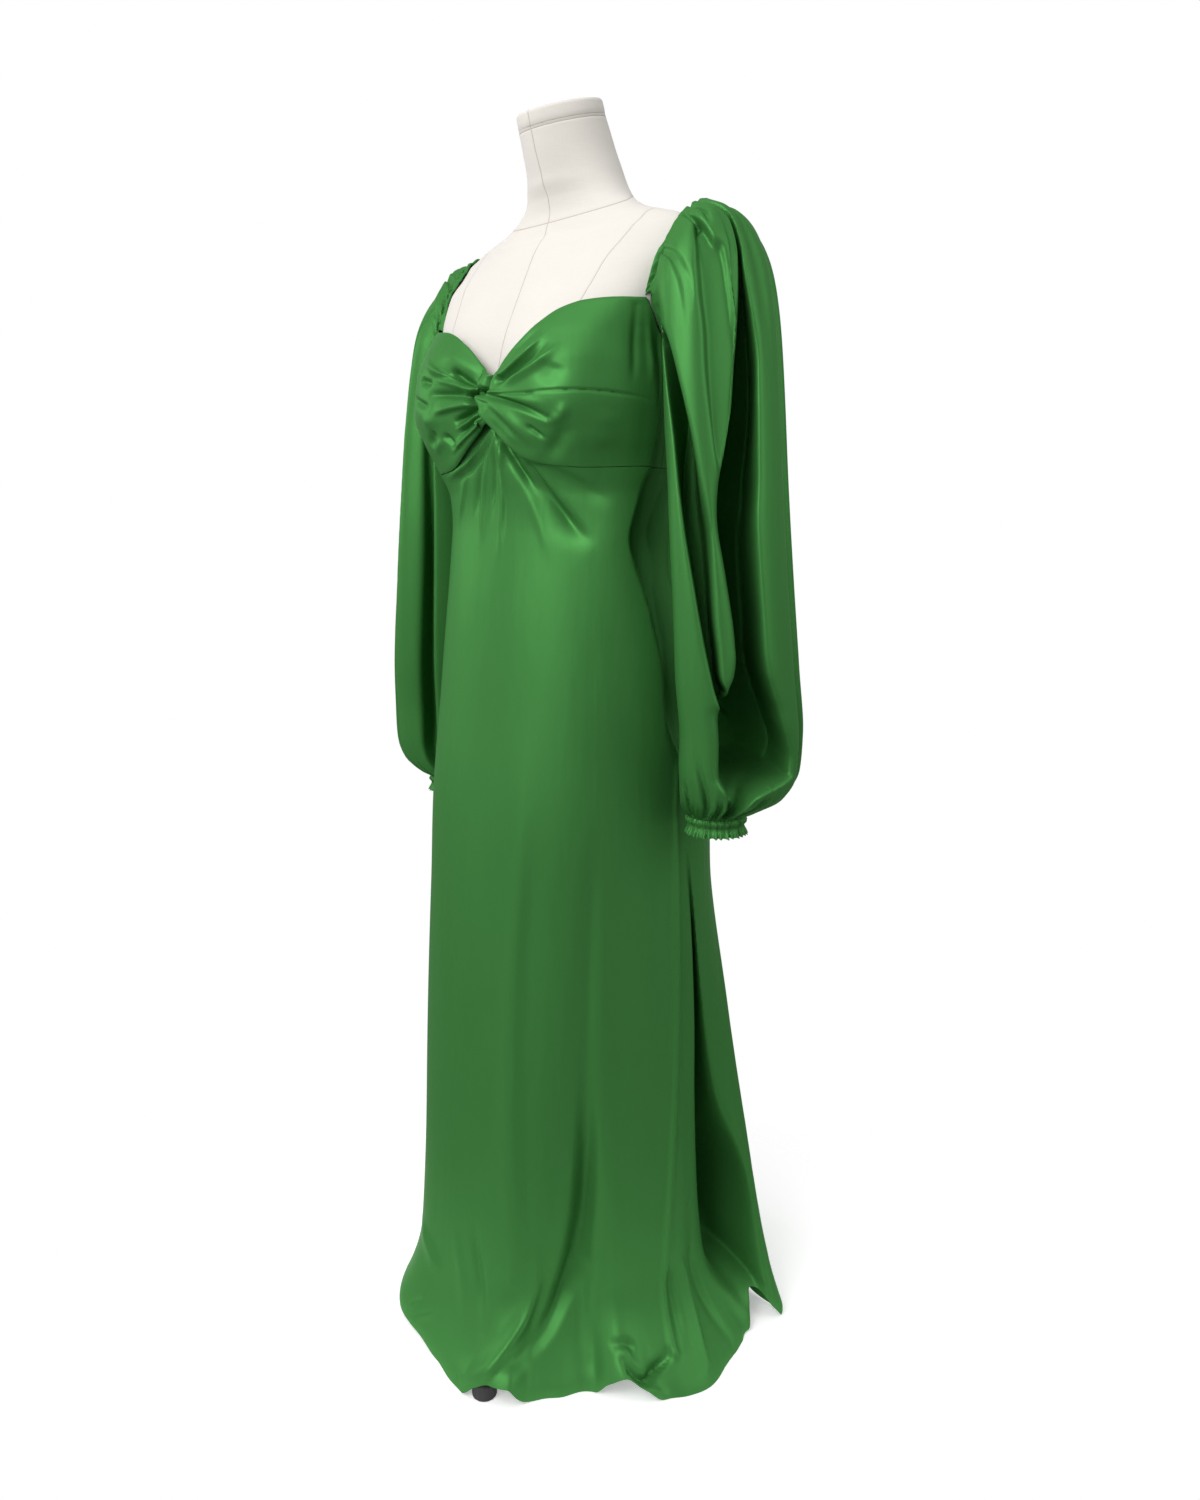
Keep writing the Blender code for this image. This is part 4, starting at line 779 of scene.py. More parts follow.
def mixed(maths, share, low, high):
    """The colour low where share is 0 and high where it is 1."""
    return maths.out("ShaderNodeMix", 2, {"data_type": "RGBA"}, i0=share, i6=low, i7=high)


def satin_material(looks):
    """Green satin: a smooth woven face with a soft, tinted sheen and faint slubs."""
    name = "green satin"
    if name in bpy.data.materials:
        return bpy.data.materials[name]
    made, shader, maths = new_material(name, looks.satin_colour, looks.satin_roughness)
    u, v, _ = xyz(maths, "UV")
    x, y, z = xyz(maths)
    patches = noise(maths, point(maths, x * 9.0, y * 9.0, z * 3.0), 1.0, 3.0)
    streaks = noise(maths, point(maths, u * 420.0, v * 14.0, 0.0), 1.0, 2.0)
    slubs = noise(maths, point(maths, u * 30.0, v * 2600.0, 0.0), 1.0, 1.0)
    tone = ((patches - 0.5) * 0.55 + (streaks - 0.5) * 0.20 + (slubs - 0.5) * 0.16 + 0.5)
    satin = looks.satin_colour
    colour = mixed(maths, tone.clamped(), shade_of(satin, 0.82), shade_of(satin, 1.18))
    rough = looks.satin_roughness + (patches - 0.5) * 0.10 + (streaks - 0.5) * 0.06
    turns = 2 * math.pi / looks.thread
    weave = (u * turns).wave() * (v * turns).wave()
    ripple = noise(maths, point(maths, u * 45.0, v * 9.0, 0.0), 1.0, 2.0, 0.45)
    height = weave * 0.00001 + slubs * 0.00002 + streaks * 0.00003 + ripple * 0.0006
    feed(maths, shader, Base_Color=colour, Roughness=rough.clamped(),
         Metallic=looks.satin_metallic, Specular_IOR_Level=0.05,
         Specular_Tint=(0.35, 0.75, 0.32, 1), Normal=bumped(maths, height))
    return made


def linen_material(looks):
    """Cream linen cover: plain weave with slubs, and the form's sewn seams as fine lines."""
    name = "cream linen"
    if name in bpy.data.materials:
        return bpy.data.materials[name]
    made, shader, maths = new_material(name, looks.linen_colour, 0.9)
    x, y, z = xyz(maths)
    warp = noise(maths, point(maths, x * 900.0, y * 900.0, z * 60.0), 1.0, 2.0)
    weft = noise(maths, point(maths, x * 60.0, y * 60.0, z * 900.0), 1.0, 2.0)
    blotch = noise(maths, point(maths, x, y, z), 14.0, 3.0)
    tone = (warp - 0.5) * 0.35 + (weft - 0.5) * 0.35 + (blotch - 0.5) * 0.4 + 0.5
    linen = looks.linen_colour
    cloth = mixed(maths, tone.clamped(), shade_of(linen, 0.90), shade_of(linen, 1.04))
    centre = abs(x)
    collar = abs(z - (1.176 + 0.45 * y))
    crown = abs(z - (FORM_TOP + 0.30 * y + 0.0022))
    princess = abs(abs(x) - (0.098 + (z - 1.05) * 0.25))
    seam = centre.least(collar).least(crown).least(princess)
    line = (1.0 - seam / 0.0007).clamped()
    dip = (1.0 - seam / 0.0022).clamped()
    height = (warp + weft) * 0.00012 - dip * 0.0006
    feed(maths, shader, Base_Color=mixed(maths, line * 0.8, cloth, [0.30, 0.22, 0.17, 1]),
         Specular_IOR_Level=0.2, Sheen_Weight=0.15, Normal=bumped(maths, height))
    return made


def paint_material(looks):
    """Dark grey powder paint with a fine orange-peel surface and rubbed patches."""
    made, shader, maths = new_material("dark paint", looks.steel_colour, 0.45)
    x, y, z = xyz(maths)
    grain = noise(maths, point(maths, x, y, z), 900.0, 2.0)
    rub = noise(maths, point(maths, x, y, z), 25.0, 4.0)
    steel = looks.steel_colour
    feed(maths, shader, Base_Color=mixed(maths, rub, shade_of(steel, 0.8), shade_of(steel, 1.3)),
         Roughness=0.34 + rub * 0.25, Metallic=0.6, Normal=bumped(maths, grain * 0.00008))
    return made


def rubber_material(looks):
    """Black moulded rubber, matt and lightly dusty."""
    made, shader, maths = new_material("black rubber", looks.rubber_colour, 0.75)
    x, y, z = xyz(maths)
    dust = noise(maths, point(maths, x, y, z), 60.0, 4.0)
    pores = noise(maths, point(maths, x, y, z), 1500.0, 2.0)
    grey = [c + 0.03 for c in looks.rubber_colour] + [1]
    feed(maths, shader, Base_Color=mixed(maths, dust, [*looks.rubber_colour, 1], grey),
         Roughness=0.65 + dust * 0.25, Normal=bumped(maths, pores * 0.0001))
    return made


# ---------------------------------------------------------------- settings
class DressLooks(bpy.types.PropertyGroup):
    """Cloth thickness, creases and threads, and the colour of each finish"""
    cloth_thickness: FloatProperty(
        name="Cloth thickness", description="Wall of the satin pieces, folded edges included",
        default=0.0007, min=0.0002, max=0.003, unit="LENGTH", precision=5)
    crease_strength: FloatProperty(
        name="Creases", description="Height of the hand-placed creases, as a share",
        default=1.0, min=0.0, max=2.0, subtype="FACTOR")
    satin_colour: FloatVectorProperty(
        name="Satin", description="Colour of the satin", size=3, subtype="COLOR",
        default=(0.052, 0.205, 0.050), min=0, max=1)
    satin_roughness: FloatProperty(
        name="Satin roughness", description="Softness of the satin's sheen",
        default=0.42, min=0.0, max=1.0, subtype="FACTOR")
    satin_metallic: FloatProperty(
        name="Satin tint", description="Share of the sheen that takes the cloth's colour",
        default=0.35, min=0.0, max=1.0, subtype="FACTOR")
    thread: FloatProperty(
        name="Thread", description="Spacing of the satin's threads",
        default=0.0004, min=0.0001, max=0.002, unit="LENGTH", precision=5)
    linen_colour: FloatVectorProperty(
        name="Linen", description="Colour of the form's cover", size=3, subtype="COLOR",
        default=(0.66, 0.63, 0.585), min=0, max=1)
    steel_colour: FloatVectorProperty(
        name="Paint", description="Colour of the stand's paint", size=3, subtype="COLOR",
        default=(0.06, 0.06, 0.065), min=0, max=1)
    rubber_colour: FloatVectorProperty(
        name="Rubber", description="Colour of the feet", size=3, subtype="COLOR",
        default=(0.012, 0.012, 0.013), min=0, max=1)


class StudioSetup(bpy.types.PropertyGroup):
    """Place of the camera, power of the lights, and the floor's colour"""
    distance: FloatProperty(
        name="Camera distance", description="From the pole's axis to the camera",
        default=1.29, min=0.5, max=10, unit="LENGTH")
    height: FloatProperty(
        name="Camera height", description="Above the floor",
        default=0.83, min=0.0, max=3, unit="LENGTH")
    azimuth: FloatProperty(
        name="Camera azimuth", description="Turn from the front towards the wearer's left",
        default=math.radians(45), subtype="ANGLE", unit="ROTATION")
    key_power: FloatProperty(
        name="Key light", description="Power of the large soft light before the front",
        default=33.0, min=0.0, unit="POWER")
    side_power: FloatProperty(
        name="Side light", description="Power of the soft light beyond the wearer's left",
        default=15.0, min=0.0, unit="POWER")
    far_power: FloatProperty(
        name="Far light", description="Power of the soft light beyond the wearer's right",
        default=12.0, min=0.0, unit="POWER")
    fill_power: FloatProperty(
        name="Top light", description="Power of the soft light above",
        default=6.0, min=0.0, unit="POWER")
    room_strength: FloatProperty(
        name="Room light", description="Strength of the white room, dark behind the camera and dim below",
        default=0.62, min=0.0)
    floor_colour: FloatVectorProperty(
        name="Floor", description="Colour of the floor", size=3, subtype="COLOR",
        default=(0.82, 0.82, 0.82), min=0, max=1)


# ---------------------------------------------------------------- pieces
def form_ring(z, grow=0.0):
    """A level ring of the form, tilted by its lean and shifted to its centre line."""
    angle = np.arange(144) * 2.5
    level = np.full(144, z)
    ring = polar(angle, section_radius(FORM, angle, level, BUST_WIDTH) + grow, level)
    ring[:, 2] += ring[:, 1] * FORM.at("lean", z)
    ring[:, 1] += FORM.at("centre_y", z)
    return ring


class FormBuilder(bpy.types.Operator):
    """Torso and neck cap of the dress form: level superellipse rings with two bust bells"""
    bl_idname = "dress.form"
    bl_label = "Dress form"

    def execute(self, context):
        finish = linen_material(context.scene.dress_looks)
        heights = np.concatenate([np.linspace(FORM_LOW + 0.004, 1.08, 70),
                                  np.linspace(1.085, 1.20, 60), np.linspace(1.203, FORM_TOP, 24)])
        edge = [form_ring(FORM_LOW, grow=-0.010), form_ring(FORM_LOW + 0.001, grow=-0.004)]
        torso = add_solid("form_cover", np.array(edge + [form_ring(z) for z in heights]),
                          finish)
        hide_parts("form_torso")
        seat = form_ring(FORM_TOP) + (0, 0, SEAM_GAP)
        middle = seat.mean(axis=0)
        lean = FORM.at("lean", FORM_TOP)
        axis = np.array([0, -lean, 1]) / math.hypot(1, lean)
        # rise up the neck's axis, and share of the way in to it
        rounding = NECK_CAP_HEIGHT - 0.004
        profile = [(0, 0.012), (0.0008, 0.0), (0.006, -0.004), (rounding, 0.004)]
        profile += [(rounding + 0.004 * math.sin(a), 0.004 + 0.07 * (1 - math.cos(a)))
                    for a in np.radians((22, 45, 67, 90))]
        profile += [(NECK_CAP_HEIGHT + 0.0018, 0.35), (NECK_CAP_HEIGHT + 0.003, 0.7)]
        crown = np.array([seat + axis * rise + (middle - seat) * pull for rise, pull in profile])
        cap = add_solid("form_cap", crown, finish)
        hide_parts("form_neck_cap")
        return {"FINISHED"}


def front_grid(side):
    """One front half: columns from the meeting line to the side seam, rows from neck to seam.

    A column's angle is its share of the half, plus the meeting line's angle at its height,
    which fades over MEETING_FADE degrees.  Each column's ends are where it meets the edges.
    """
    sign = 1 if side == "left" else -1
    share = np.linspace(0, 1, 178)
    away = (SIDE_SEAM - BODICE_SEAM_GAP) * (0.42 * share + 0.58 * share ** 2)
    away = away[::sign]
    near = 1 - smooth(away / MEETING_FADE)

    def place(z):
        """Each column's signed angle at a height."""
        return sign * away + (MEETING.at("angle", z) + sign * 0.25) * near

    # Both ends start level, and each round moves them halfway to the edge at their angle.
    top, low = 1.0 + 0 * away, 0.92 + 0 * away
    for _ in range(40):
        top = (top + bodice_top(place(top))) / 2
        low = (low + FRONT_EDGES.at("lower", place(low)) + WAIST_GAP) / 2
    z = top + (low - top) * np.linspace(0, 1, 116)[:, None]
    angle = place(z)
    return polar(angle, dress_radius(angle, z), z), angle, z


def twist_swell(side, angle, z):
    """Height of the fronts at the twist: rolled edges along the meeting line, in metres.

    Above the tongue both edges roll in and swell beside the line.  Beside the tongue the
    left front stands proud with a rounded edge and the right front dips under it.
    """
    line_z = np.linspace(0.928, 0.990, 94)
    line_x = np.radians(MEETING.at("angle", line_z)) * TWIST_RADIUS
    x = np.radians(angle) * TWIST_RADIUS
    away = np.full(angle.shape, 1.0)
    for a, b in zip(line_x, line_z):
        away = np.minimum(away, np.hypot(x - a, z - b))
    middle = bell(np.maximum(np.abs(z - 0.960) - 0.010, 0) / 0.016)
    under = smooth((0.9665 - z) / 0.004)
    if side == "left":
        above = 0.0030 * bell((away - 0.008) / 0.007) - 0.0090 * bell(away / 0.0024)
        beside = 0.0075 * bell((away - 0.005) / 0.010) - 0.0060 * bell(away / 0.0012)
    else:
        above = 0.0065 * bell((away - 0.009) / 0.008) - 0.0110 * bell(away / 0.0026)
        beside = 0.0030 * bell((away - 0.012) / 0.007) - 0.0080 * bell(away / 0.0050)
    return (above * (1 - under) + beside * under) * middle


def lower_roll(angle, z):
    """How far the fronts' lower edge stands off the skirt near the twist, in metres."""
    low = FRONT_EDGES.at("lower", angle)
    near = bell((angle - 5) / 26)
    return (0.0048 * bell((z - low - 0.005) / 0.008) - 0.0022 * bell((z - low) / 0.0018)) * near


class BodiceBuilder(bpy.types.Operator):
    """Two fronts and the back: the dress section cut by the neckline, armholes and seam"""
    bl_idname = "dress.bodice"
    bl_label = "Bodice"

    def execute(self, context):
        looks = context.scene.dress_looks
        finish = satin_material(looks)
        for side, creases in (("left", LEFT_CUP), ("right", RIGHT_CUP)):
            grid, angle, z = front_grid(side)
            normal = grid_normals(grid, False)
            rise = twist_swell(side, angle, z) + lower_roll(angle, z)
            rise = rise - 0.0012 * bell((z - bodice_top(angle)) / 0.0012)
            grid = with_creases(grid, angle, z, creases, looks.crease_strength)
            grid = grid + normal * rise[..., None]
            piece = add_shell(f"cup_{side}", grid, finish, looks.cloth_thickness)
            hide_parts(f"bodice_front_{side}")
        seam = SIDE_SEAM + BODICE_SEAM_GAP
        angle = np.linspace(seam, 360 - seam, 130)
        down = np.linspace(0, 1, 60)[:, None]
        top = bodice_top(angle)
        z = top + (UNDERBUST_Z + WAIST_GAP - top) * down
        angle = angle + 0 * z
        grid = polar(angle, dress_radius(angle, z), z)
        grid = with_creases(grid, angle, z, BACK_BODICE, looks.crease_strength)
        piece = add_shell("back_panel", grid, finish, looks.cloth_thickness)
        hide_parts("bodice_back")
        return {"FINISHED"}


class TwistBuilder(bpy.types.Operator):
    """Strand inside the twist: a short roll whose pleated oval turns as it rises"""
    bl_idname = "dress.twist"
    bl_label = "Twist"

    def execute(self, context):
        looks = context.scene.dress_looks
        rise = np.linspace(-1, 1, 40)
        turn = np.radians(np.arange(64) * 360 / 64)[None, :] + np.radians(70) * rise[:, None]
        swell = np.sqrt(1 - (0.9 * rise) ** 2)[:, None]
        pleats = 1 + 0.10 * np.cos(2 * turn) + 0.05 * np.cos(7 * turn)
        z = KNOT_Z + rise[:, None] * (KNOT_HALF_HEIGHT - 0.001) + 0 * turn
        front = dress_radius(0 * z + 4, z) - 0.0075
        x = 0.009 + 0.0055 * swell * np.cos(turn) * pleats
        y = -front + 0.0045 * swell * np.sin(turn) * pleats
        rings = np.stack([x, y, z], -1)
        piece = add_solid("twist_strand", rings, satin_material(looks), 80)
        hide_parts("twist_knot")
        return {"FINISHED"}


def spaced(stops):
    """Values between stops, each with its own step: (value, step to the next value)."""
    parts = [np.arange(a, b, step) for (a, step), (b, _) in zip(stops[:-1], stops[1:])]
    return np.concatenate(parts + [[stops[-1][0]]])


def skirt_panel(angle, top, creases, strength):
    """Rows run straight down from the waist seam to the hem, closer at both ends.

    The hem turns in a little, the top dips under the twist, and the side pleat moves its
    places in and round.  Creases come last.
    """
    down = spaced([(0, 0.0022), (0.10, 0.009), (0.16, 0.014), (0.84, 0.009), (0.88, 0.0021),
                   (1, 0)])[:, None]
    hem = FLOOR_CLEAR + HEM.at("lift", turn_to(angle, 0))
    z = top + (hem - top) * down
    angle = angle + 0 * z
    turned_in = 0.006 * np.clip(1 - (z - hem) / 0.014, 0, 1) ** 2
    under_twist = bell((turn_to(angle, 0) - 5) / 26) * bell(np.maximum(top - 0.011 - z, 0) / 0.014)
    radius = dress_radius(angle, z) - turned_in - 0.0070 * under_twist
    inward, round_by = side_pleat(angle, z)
    grid = polar(angle + round_by, radius - inward, z)
    return with_creases(grid, angle, z, creases, strength)


class SkirtBuilder(bpy.types.Operator):
    """Skirt front and back: the dress section, long folds as bells, and a spread hem"""
    bl_idname = "dress.skirt"
    bl_label = "Skirt"

    def execute(self, context):
        looks = context.scene.dress_looks
        finish = satin_material(looks)
        end = SIDE_SEAM - SKIRT_SEAM_GAP
        angle = spaced([(-end, 1.4), (-32, 0.75), (0, 0.55), (60, 0.60), (end, 0)])
        top = FRONT_EDGES.at("lower", angle)
        top = top + 0.011 * bell((angle - 5) / 20)
        grid = skirt_panel(angle, top, SKIRT_CREASES, looks.crease_strength)
        piece = add_shell("skirt_front_panel", grid, finish,
                          looks.cloth_thickness)
        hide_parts("skirt_front")
        end = SIDE_SEAM + SKIRT_SEAM_GAP
        angle = spaced([(end, 0.5), (96, 0.3), (116, 0.7), (135, 1.8), (360 - end, 0)])
        top = UNDERBUST_Z + 0 * angle
        grid = skirt_panel(angle, top, BACK_CREASES, looks.crease_strength)
        piece = add_shell("skirt_back_panel", grid, finish,
                          looks.cloth_thickness)
        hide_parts("skirt_back")
        return {"FINISHED"}


def off_shoulder(points, clear):
    """Points moved away from the middle of the shoulder until they clear the form."""
    middle = np.array([0, SHOULDER_Y, SHOULDER_Z])
    ray = (points - middle) * (0, 1, 1)
    reach = np.linalg.norm(ray, axis=-1, keepdims=True)
    ray = ray / reach
    near, far = np.zeros_like(reach), np.full_like(reach, 0.12)
    for _ in range(24):
        half = (near + far) / 2
        spot = points * (1, 0, 0) + middle + ray * half
        angle = np.degrees(np.arctan2(spot[..., 0], -spot[..., 1]))
        body = section_radius(FORM, angle, spot[..., 2], BUST_WIDTH)
        inside = (np.hypot(spot[..., 0], spot[..., 1]) < body)[..., None]
        near, far = np.where(inside, half, near), np.where(inside, far, half)
    return points * (1, 0, 0) + middle + ray * np.maximum(reach, far + clear)


def casing_line(turn, outwards, casing):
    """Points along the elastic neck edge, moved outwards over the shoulder."""
    line = np.stack([casing.at(name, turn) for name in "xyz"], -1)
    over = np.radians(turn)
    slope = np.stack([1 + 0 * over, -CORNER_SPREAD * np.cos(over),
                      -SHOULDER_SLOPE * np.sin(over)], -1)
    return off_shoulder(line + np.asarray(outwards)[..., None] * slope, CASING_CLEAR)


def armhole_loop(turn, casing):
    """Ring where the sleeve begins: the neck edge above, the bodice's armhole below."""
    turn = turn % 360
    upper = casing_line(np.clip(turn, 0, 180), CASING_WIDTH + SEAM_GAP + 0 * turn, casing)
    angle = 90 - (ARMHOLE_HALF - 0.4) * np.cos(np.radians(turn))
    z = bodice_top(angle) + SEAM_GAP
    lower = polar(angle, dress_radius(angle, z) + 0.0005, z)
    for end in (0, 180):
        near = bell(turn_to(turn, end) / 11)[..., None]
        corner = casing_line(np.full(1, float(end)), np.full(1, CASING_WIDTH + SEAM_GAP), casing)
        lower = lower + (corner - lower) * near
    return np.where((turn <= 180)[..., None], upper, lower)


def gathers(turn, phase):
    """Uneven small waves round a gathered edge, from -1 to 1: three sines of the turn."""
    a = np.radians(turn)
    return (0.50 * np.sin(31 * a + phase) + 0.30 * np.sin(47 * a + 2.1 * phase)
            + 0.20 * np.sin(19 * a + 0.7 * phase))


def chord(turn, aim, side_half, front_half):
    """Millimetres from a place on an oval, straight in along an aim, to near its far side."""
    a = np.radians(turn)
    across = np.sin(a) * np.sin(aim) / side_half + np.cos(a) * np.cos(aim) / front_half
    square = (np.sin(aim) / side_half) ** 2 + (np.cos(aim) / front_half) ** 2
    return np.maximum(2000 * across / square - FAR_WALL, 0)


def sleeve_rings(ring, turn, troughs, phase, casing, slim):
    """Points of the sleeve at a ring number and a turn: an oval with troughs, and ends.

    Each ring is an oval between an outer and an inner line.  A trough moves its share of
    the oval straight in along its aim, its lips lean over the mouth, and a deep one is wider
    inside than at its mouth; where two overlap, the deeper one counts most.  slim is 1 for
    the right sleeve and 0 for the left.  Small gathers fade from both ends, which meet the
    armhole and the cuff.
    """
    low = np.maximum(ring, 1)[:, None]
    value = {name: SLEEVE.at(name, low) for name in SLEEVE.names[1:]}
    outer = np.stack([value["outer_x"], value["centre_y"], value["outer_z"]], -1)
    inner = np.stack([value["inner_x"], value["centre_y"], value["inner_z"]], -1)
    half = (outer - inner) / 2
    reach = np.linalg.norm(half, axis=-1)
    side = half / reach[..., None]
    front = np.array([0, -1.0, 0])
    lean = np.zeros_like(turn)
    total = np.full_like(turn, 1e-6)
    inward = np.zeros(turn.shape + (3,))
    for table in troughs:
        half_width = table.at("half", low)
        off = turn_to(turn, table.at("middle", low)) / half_width
        share = 1 / (1 + np.abs(off) ** 9)
        aim = np.radians(table.at("aim", low))
        way = side * np.sin(aim)[..., None] + front * np.cos(aim)[..., None]
        depth = table.at("depth", low)
        deep = np.minimum(depth * share, chord(turn, aim, reach, value["half_depth"]))
        inward += way * (deep ** 6)[..., None]
        total += deep ** 5
        near, far = table.at("lip_near", low), table.at("lip_far", low)
        lean += near * bell((off + 1.3) / 0.45) - far * bell((off - 1.3) / 0.45)
        lean += UNDERCUT * smooth((depth - 40) / 40) * off * half_width * share
    inward *= 0.001 / total[..., None]
    slimmed = slim * value["slim"] * bell(turn_to(turn, 50) / 50)
    tucked = (1 - slim) * value["tuck"] * bell(turn_to(turn, -42) / 26)
    inward += DIAGONAL * ((front + side) * slimmed[..., None] + (front - side) * tucked[..., None])
    wave = gathers(turn, phase)
    top_fade = bell(np.maximum(ring[:, None] - 0.3, 0) / 0.9)
    low_fade = bell((LAST_RING - ring[:, None]) / 1.6)
    size = 1 + wave * (0.014 * top_fade + 0.085 * low_fade)
    size = size + 0.012 * np.sin(np.radians(turn) * 5 + ring[:, None] * 0.9 + phase)
    a = np.radians(turn + lean)
    depth = value["half_depth"][..., None] * front
    grid = ((outer + inner) / 2 + half * (np.sin(a) * size)[..., None]
            + depth * (np.cos(a) * size)[..., None] - inward)
    join = smooth(ring)[:, None, None]
    grid = armhole_loop(turn[0], casing)[None] * (1 - join) + grid * join
    cuff = np.radians(turn[-1])
    last = np.stack([CUFF_X + CUFF_RADIUS * np.sin(cuff), -CUFF_RADIUS * np.cos(cuff),
                     CUFF_Z + 0 * cuff], -1)[None]
    close = smooth((ring - LAST_RING + 0.8) / 0.8)[:, None, None]
    return grid * (1 - close) + last * close


def sleeve_grid(troughs, phase, casing, slim):
    """A sleeve whose columns stand evenly along the cloth of each ring, ruched at the neck.

    The columns start on the inner side, where there is no deep trough.
    """
    ring = np.concatenate([np.linspace(a, b, n, endpoint=False) for a, b, n in (
        (0, 3, 46), (3, 7.6, 42), (7.6, 8.8, 34), (8.8, 10.2, 20), (10.2, LAST_RING, 37))])
    ring = np.append(ring, LAST_RING)
    rows = len(ring)
    fine = np.linspace(305, 665, 1081)
    dense = sleeve_rings(ring, np.broadcast_to(fine, (rows, fine.size)), troughs, phase,
                         casing, slim)
    step = np.linalg.norm(np.diff(dense, axis=1), axis=-1)
    total = np.concatenate([np.zeros((rows, 1)), np.cumsum(step, 1)], 1)
    total /= total[:, -1:]
    window = range(-14, 15)
    weight = [bell(k / 8) for k in window]
    total = sum(w * total[np.clip(np.arange(rows) + k, 0, rows - 1)]
                for k, w in zip(window, weight)) / sum(weight)
    wanted = np.arange(248) / 248
    turn = np.array([np.interp(wanted, line, fine) for line in total])
    grid = sleeve_rings(ring, turn, troughs, phase, casing, slim)
    a = np.radians(turn)
    ruche = (np.sin(54 * a + phase) + 0.6 * np.sin(37 * a + 2 * phase + 3 * ring[:, None])
             + 0.4 * np.sin(71 * a - 4 * ring[:, None]))
    fade = bell((ring - 0.12) / 0.40) * smooth(ring / 0.08)
    upper = smooth(np.sin(a) / 0.35 + 0.5)
    rise = 0.0017 * ruche * fade[:, None] * upper
    return grid + grid_normals(grid, True) * rise[..., None]


def mirrored(grid):
    """The same grid on the wearer's right, its columns turned so that it faces out."""
    return (grid * (-1, 1, 1))[:, ::-1]


def lowered(grid):
    """The wearer's right sleeve: it hangs lower and further out towards its cuff."""
    share = smooth((DROP_FROM - grid[..., 2:]) / DROP_OVER)
    return grid + share * (-RIGHT_OUT, 0, -RIGHT_DROP)


class SleeveBuilder(bpy.types.Operator):
    """Two full sleeves: ovals down two lines, with deep troughs and gathered ends"""
    bl_idname = "dress.sleeves"
    bl_label = "Sleeves"

    def execute(self, context):
        looks = context.scene.dress_looks
        finish = satin_material(looks)
        sides = (("left", LEFT_TROUGHS, LEFT_PHASE, LEFT_CASING, 0.0),
                 ("right", RIGHT_TROUGHS, RIGHT_PHASE, RIGHT_CASING, 1.0))
        for side, troughs, phase, casing, slim in sides:
            grid = sleeve_grid(troughs, phase, casing, slim)
            grid = grid if side == "left" else lowered(mirrored(grid))
            piece = add_shell(f"balloon_{side}", grid, finish,
                              looks.cloth_thickness, closed=True)
            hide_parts(f"sleeve_{side}")
        return {"FINISHED"}


class NeckEdgeBuilder(bpy.types.Operator):
    """Elastic casing over each shoulder: a crowned band with uneven ruches"""
    bl_idname = "dress.neck_edge"
    bl_label = "Neck edges"

    def execute(self, context):
        looks = context.scene.dress_looks
        turn = np.linspace(2, 178, 340)[None, :]
        across = np.linspace(0, 1, 15)[:, None]
        up = np.array([SHOULDER_SLOPE, 0, 1]) / math.hypot(1, SHOULDER_SLOPE)
        beat = np.radians(turn) * 34 + 1.3 * np.sin(np.radians(turn) * 5)
        slant = 1.1 * np.sin(np.radians(turn) * 7)
        ruche = np.sin(beat + slant * across) + 0.35 * np.sin(beat * 1.9 + 2 * across)
        crown = 0.0022 * np.sin(math.pi * across) ** 0.6
        rise = crown + 0.0011 * ruche * (0.35 + np.sin(math.pi * across))
        for side, casing in (("left", LEFT_CASING), ("right", RIGHT_CASING)):
            grid = casing_line(turn + 0 * across, CASING_WIDTH * across + 0 * turn, casing)
            grid = grid + up * rise[..., None]
            grid = grid if side == "left" else mirrored(grid)
            piece = add_shell(f"neck_edge_{side}", grid, satin_material(looks),
                              CASING_THICKNESS)
            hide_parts(f"neck_casing_{side}")
        return {"FINISHED"}


class CuffBuilder(bpy.types.Operator):
    """Elastic cuffs: a ruched ring that flares into a small wavy frill"""
    bl_idname = "dress.cuffs"
    bl_label = "Cuffs"

    def execute(self, context):
        looks = context.scene.dress_looks
        profile = Table("drop out wave", [
            (0.00, 0.0000, 0.0006), (0.22, 0.0014, 0.0014), (0.50, -0.0012, 0.0008),
            (0.62, -0.0008, 0.0012), (0.82, 0.0006, 0.0020), (1.00, 0.0014, 0.0028)])
        drop = np.linspace(0, 1, 22)[:, None]
        turn = np.arange(240)[None, :] * 1.5
        for side, phase in (("left", LEFT_PHASE), ("right", RIGHT_PHASE)):
            wave = gathers(turn, phase)
            radius = CUFF_RADIUS + profile.at("out", drop) + profile.at("wave", drop) * wave
            z = CUFF_Z - SEAM_GAP - CUFF_HEIGHT * drop * (1 + 0.05 * wave * drop)
            grid = polar(turn, radius, z) + (CUFF_X, 0, 0)
            grid = grid if side == "left" else lowered(mirrored(grid))
            piece = add_shell(f"frill_{side}", grid, satin_material(looks),
                              looks.cloth_thickness, closed=True)
            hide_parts(f"cuff_{side}")
        return {"FINISHED"}


class StandBuilder(bpy.types.Operator):
    """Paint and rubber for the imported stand, whose shapes stay as they are"""
    bl_idname = "dress.stand"
    bl_label = "Stand"

    def execute(self, context):
        looks = context.scene.dress_looks
        paint, rubber = paint_material(looks), rubber_material(looks)
        for name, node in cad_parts.items():
            if name.startswith("stand_"):
                node.data.materials.clear()
                node.data.materials.append(rubber if "foot" in name else paint)
        return {"FINISHED"}


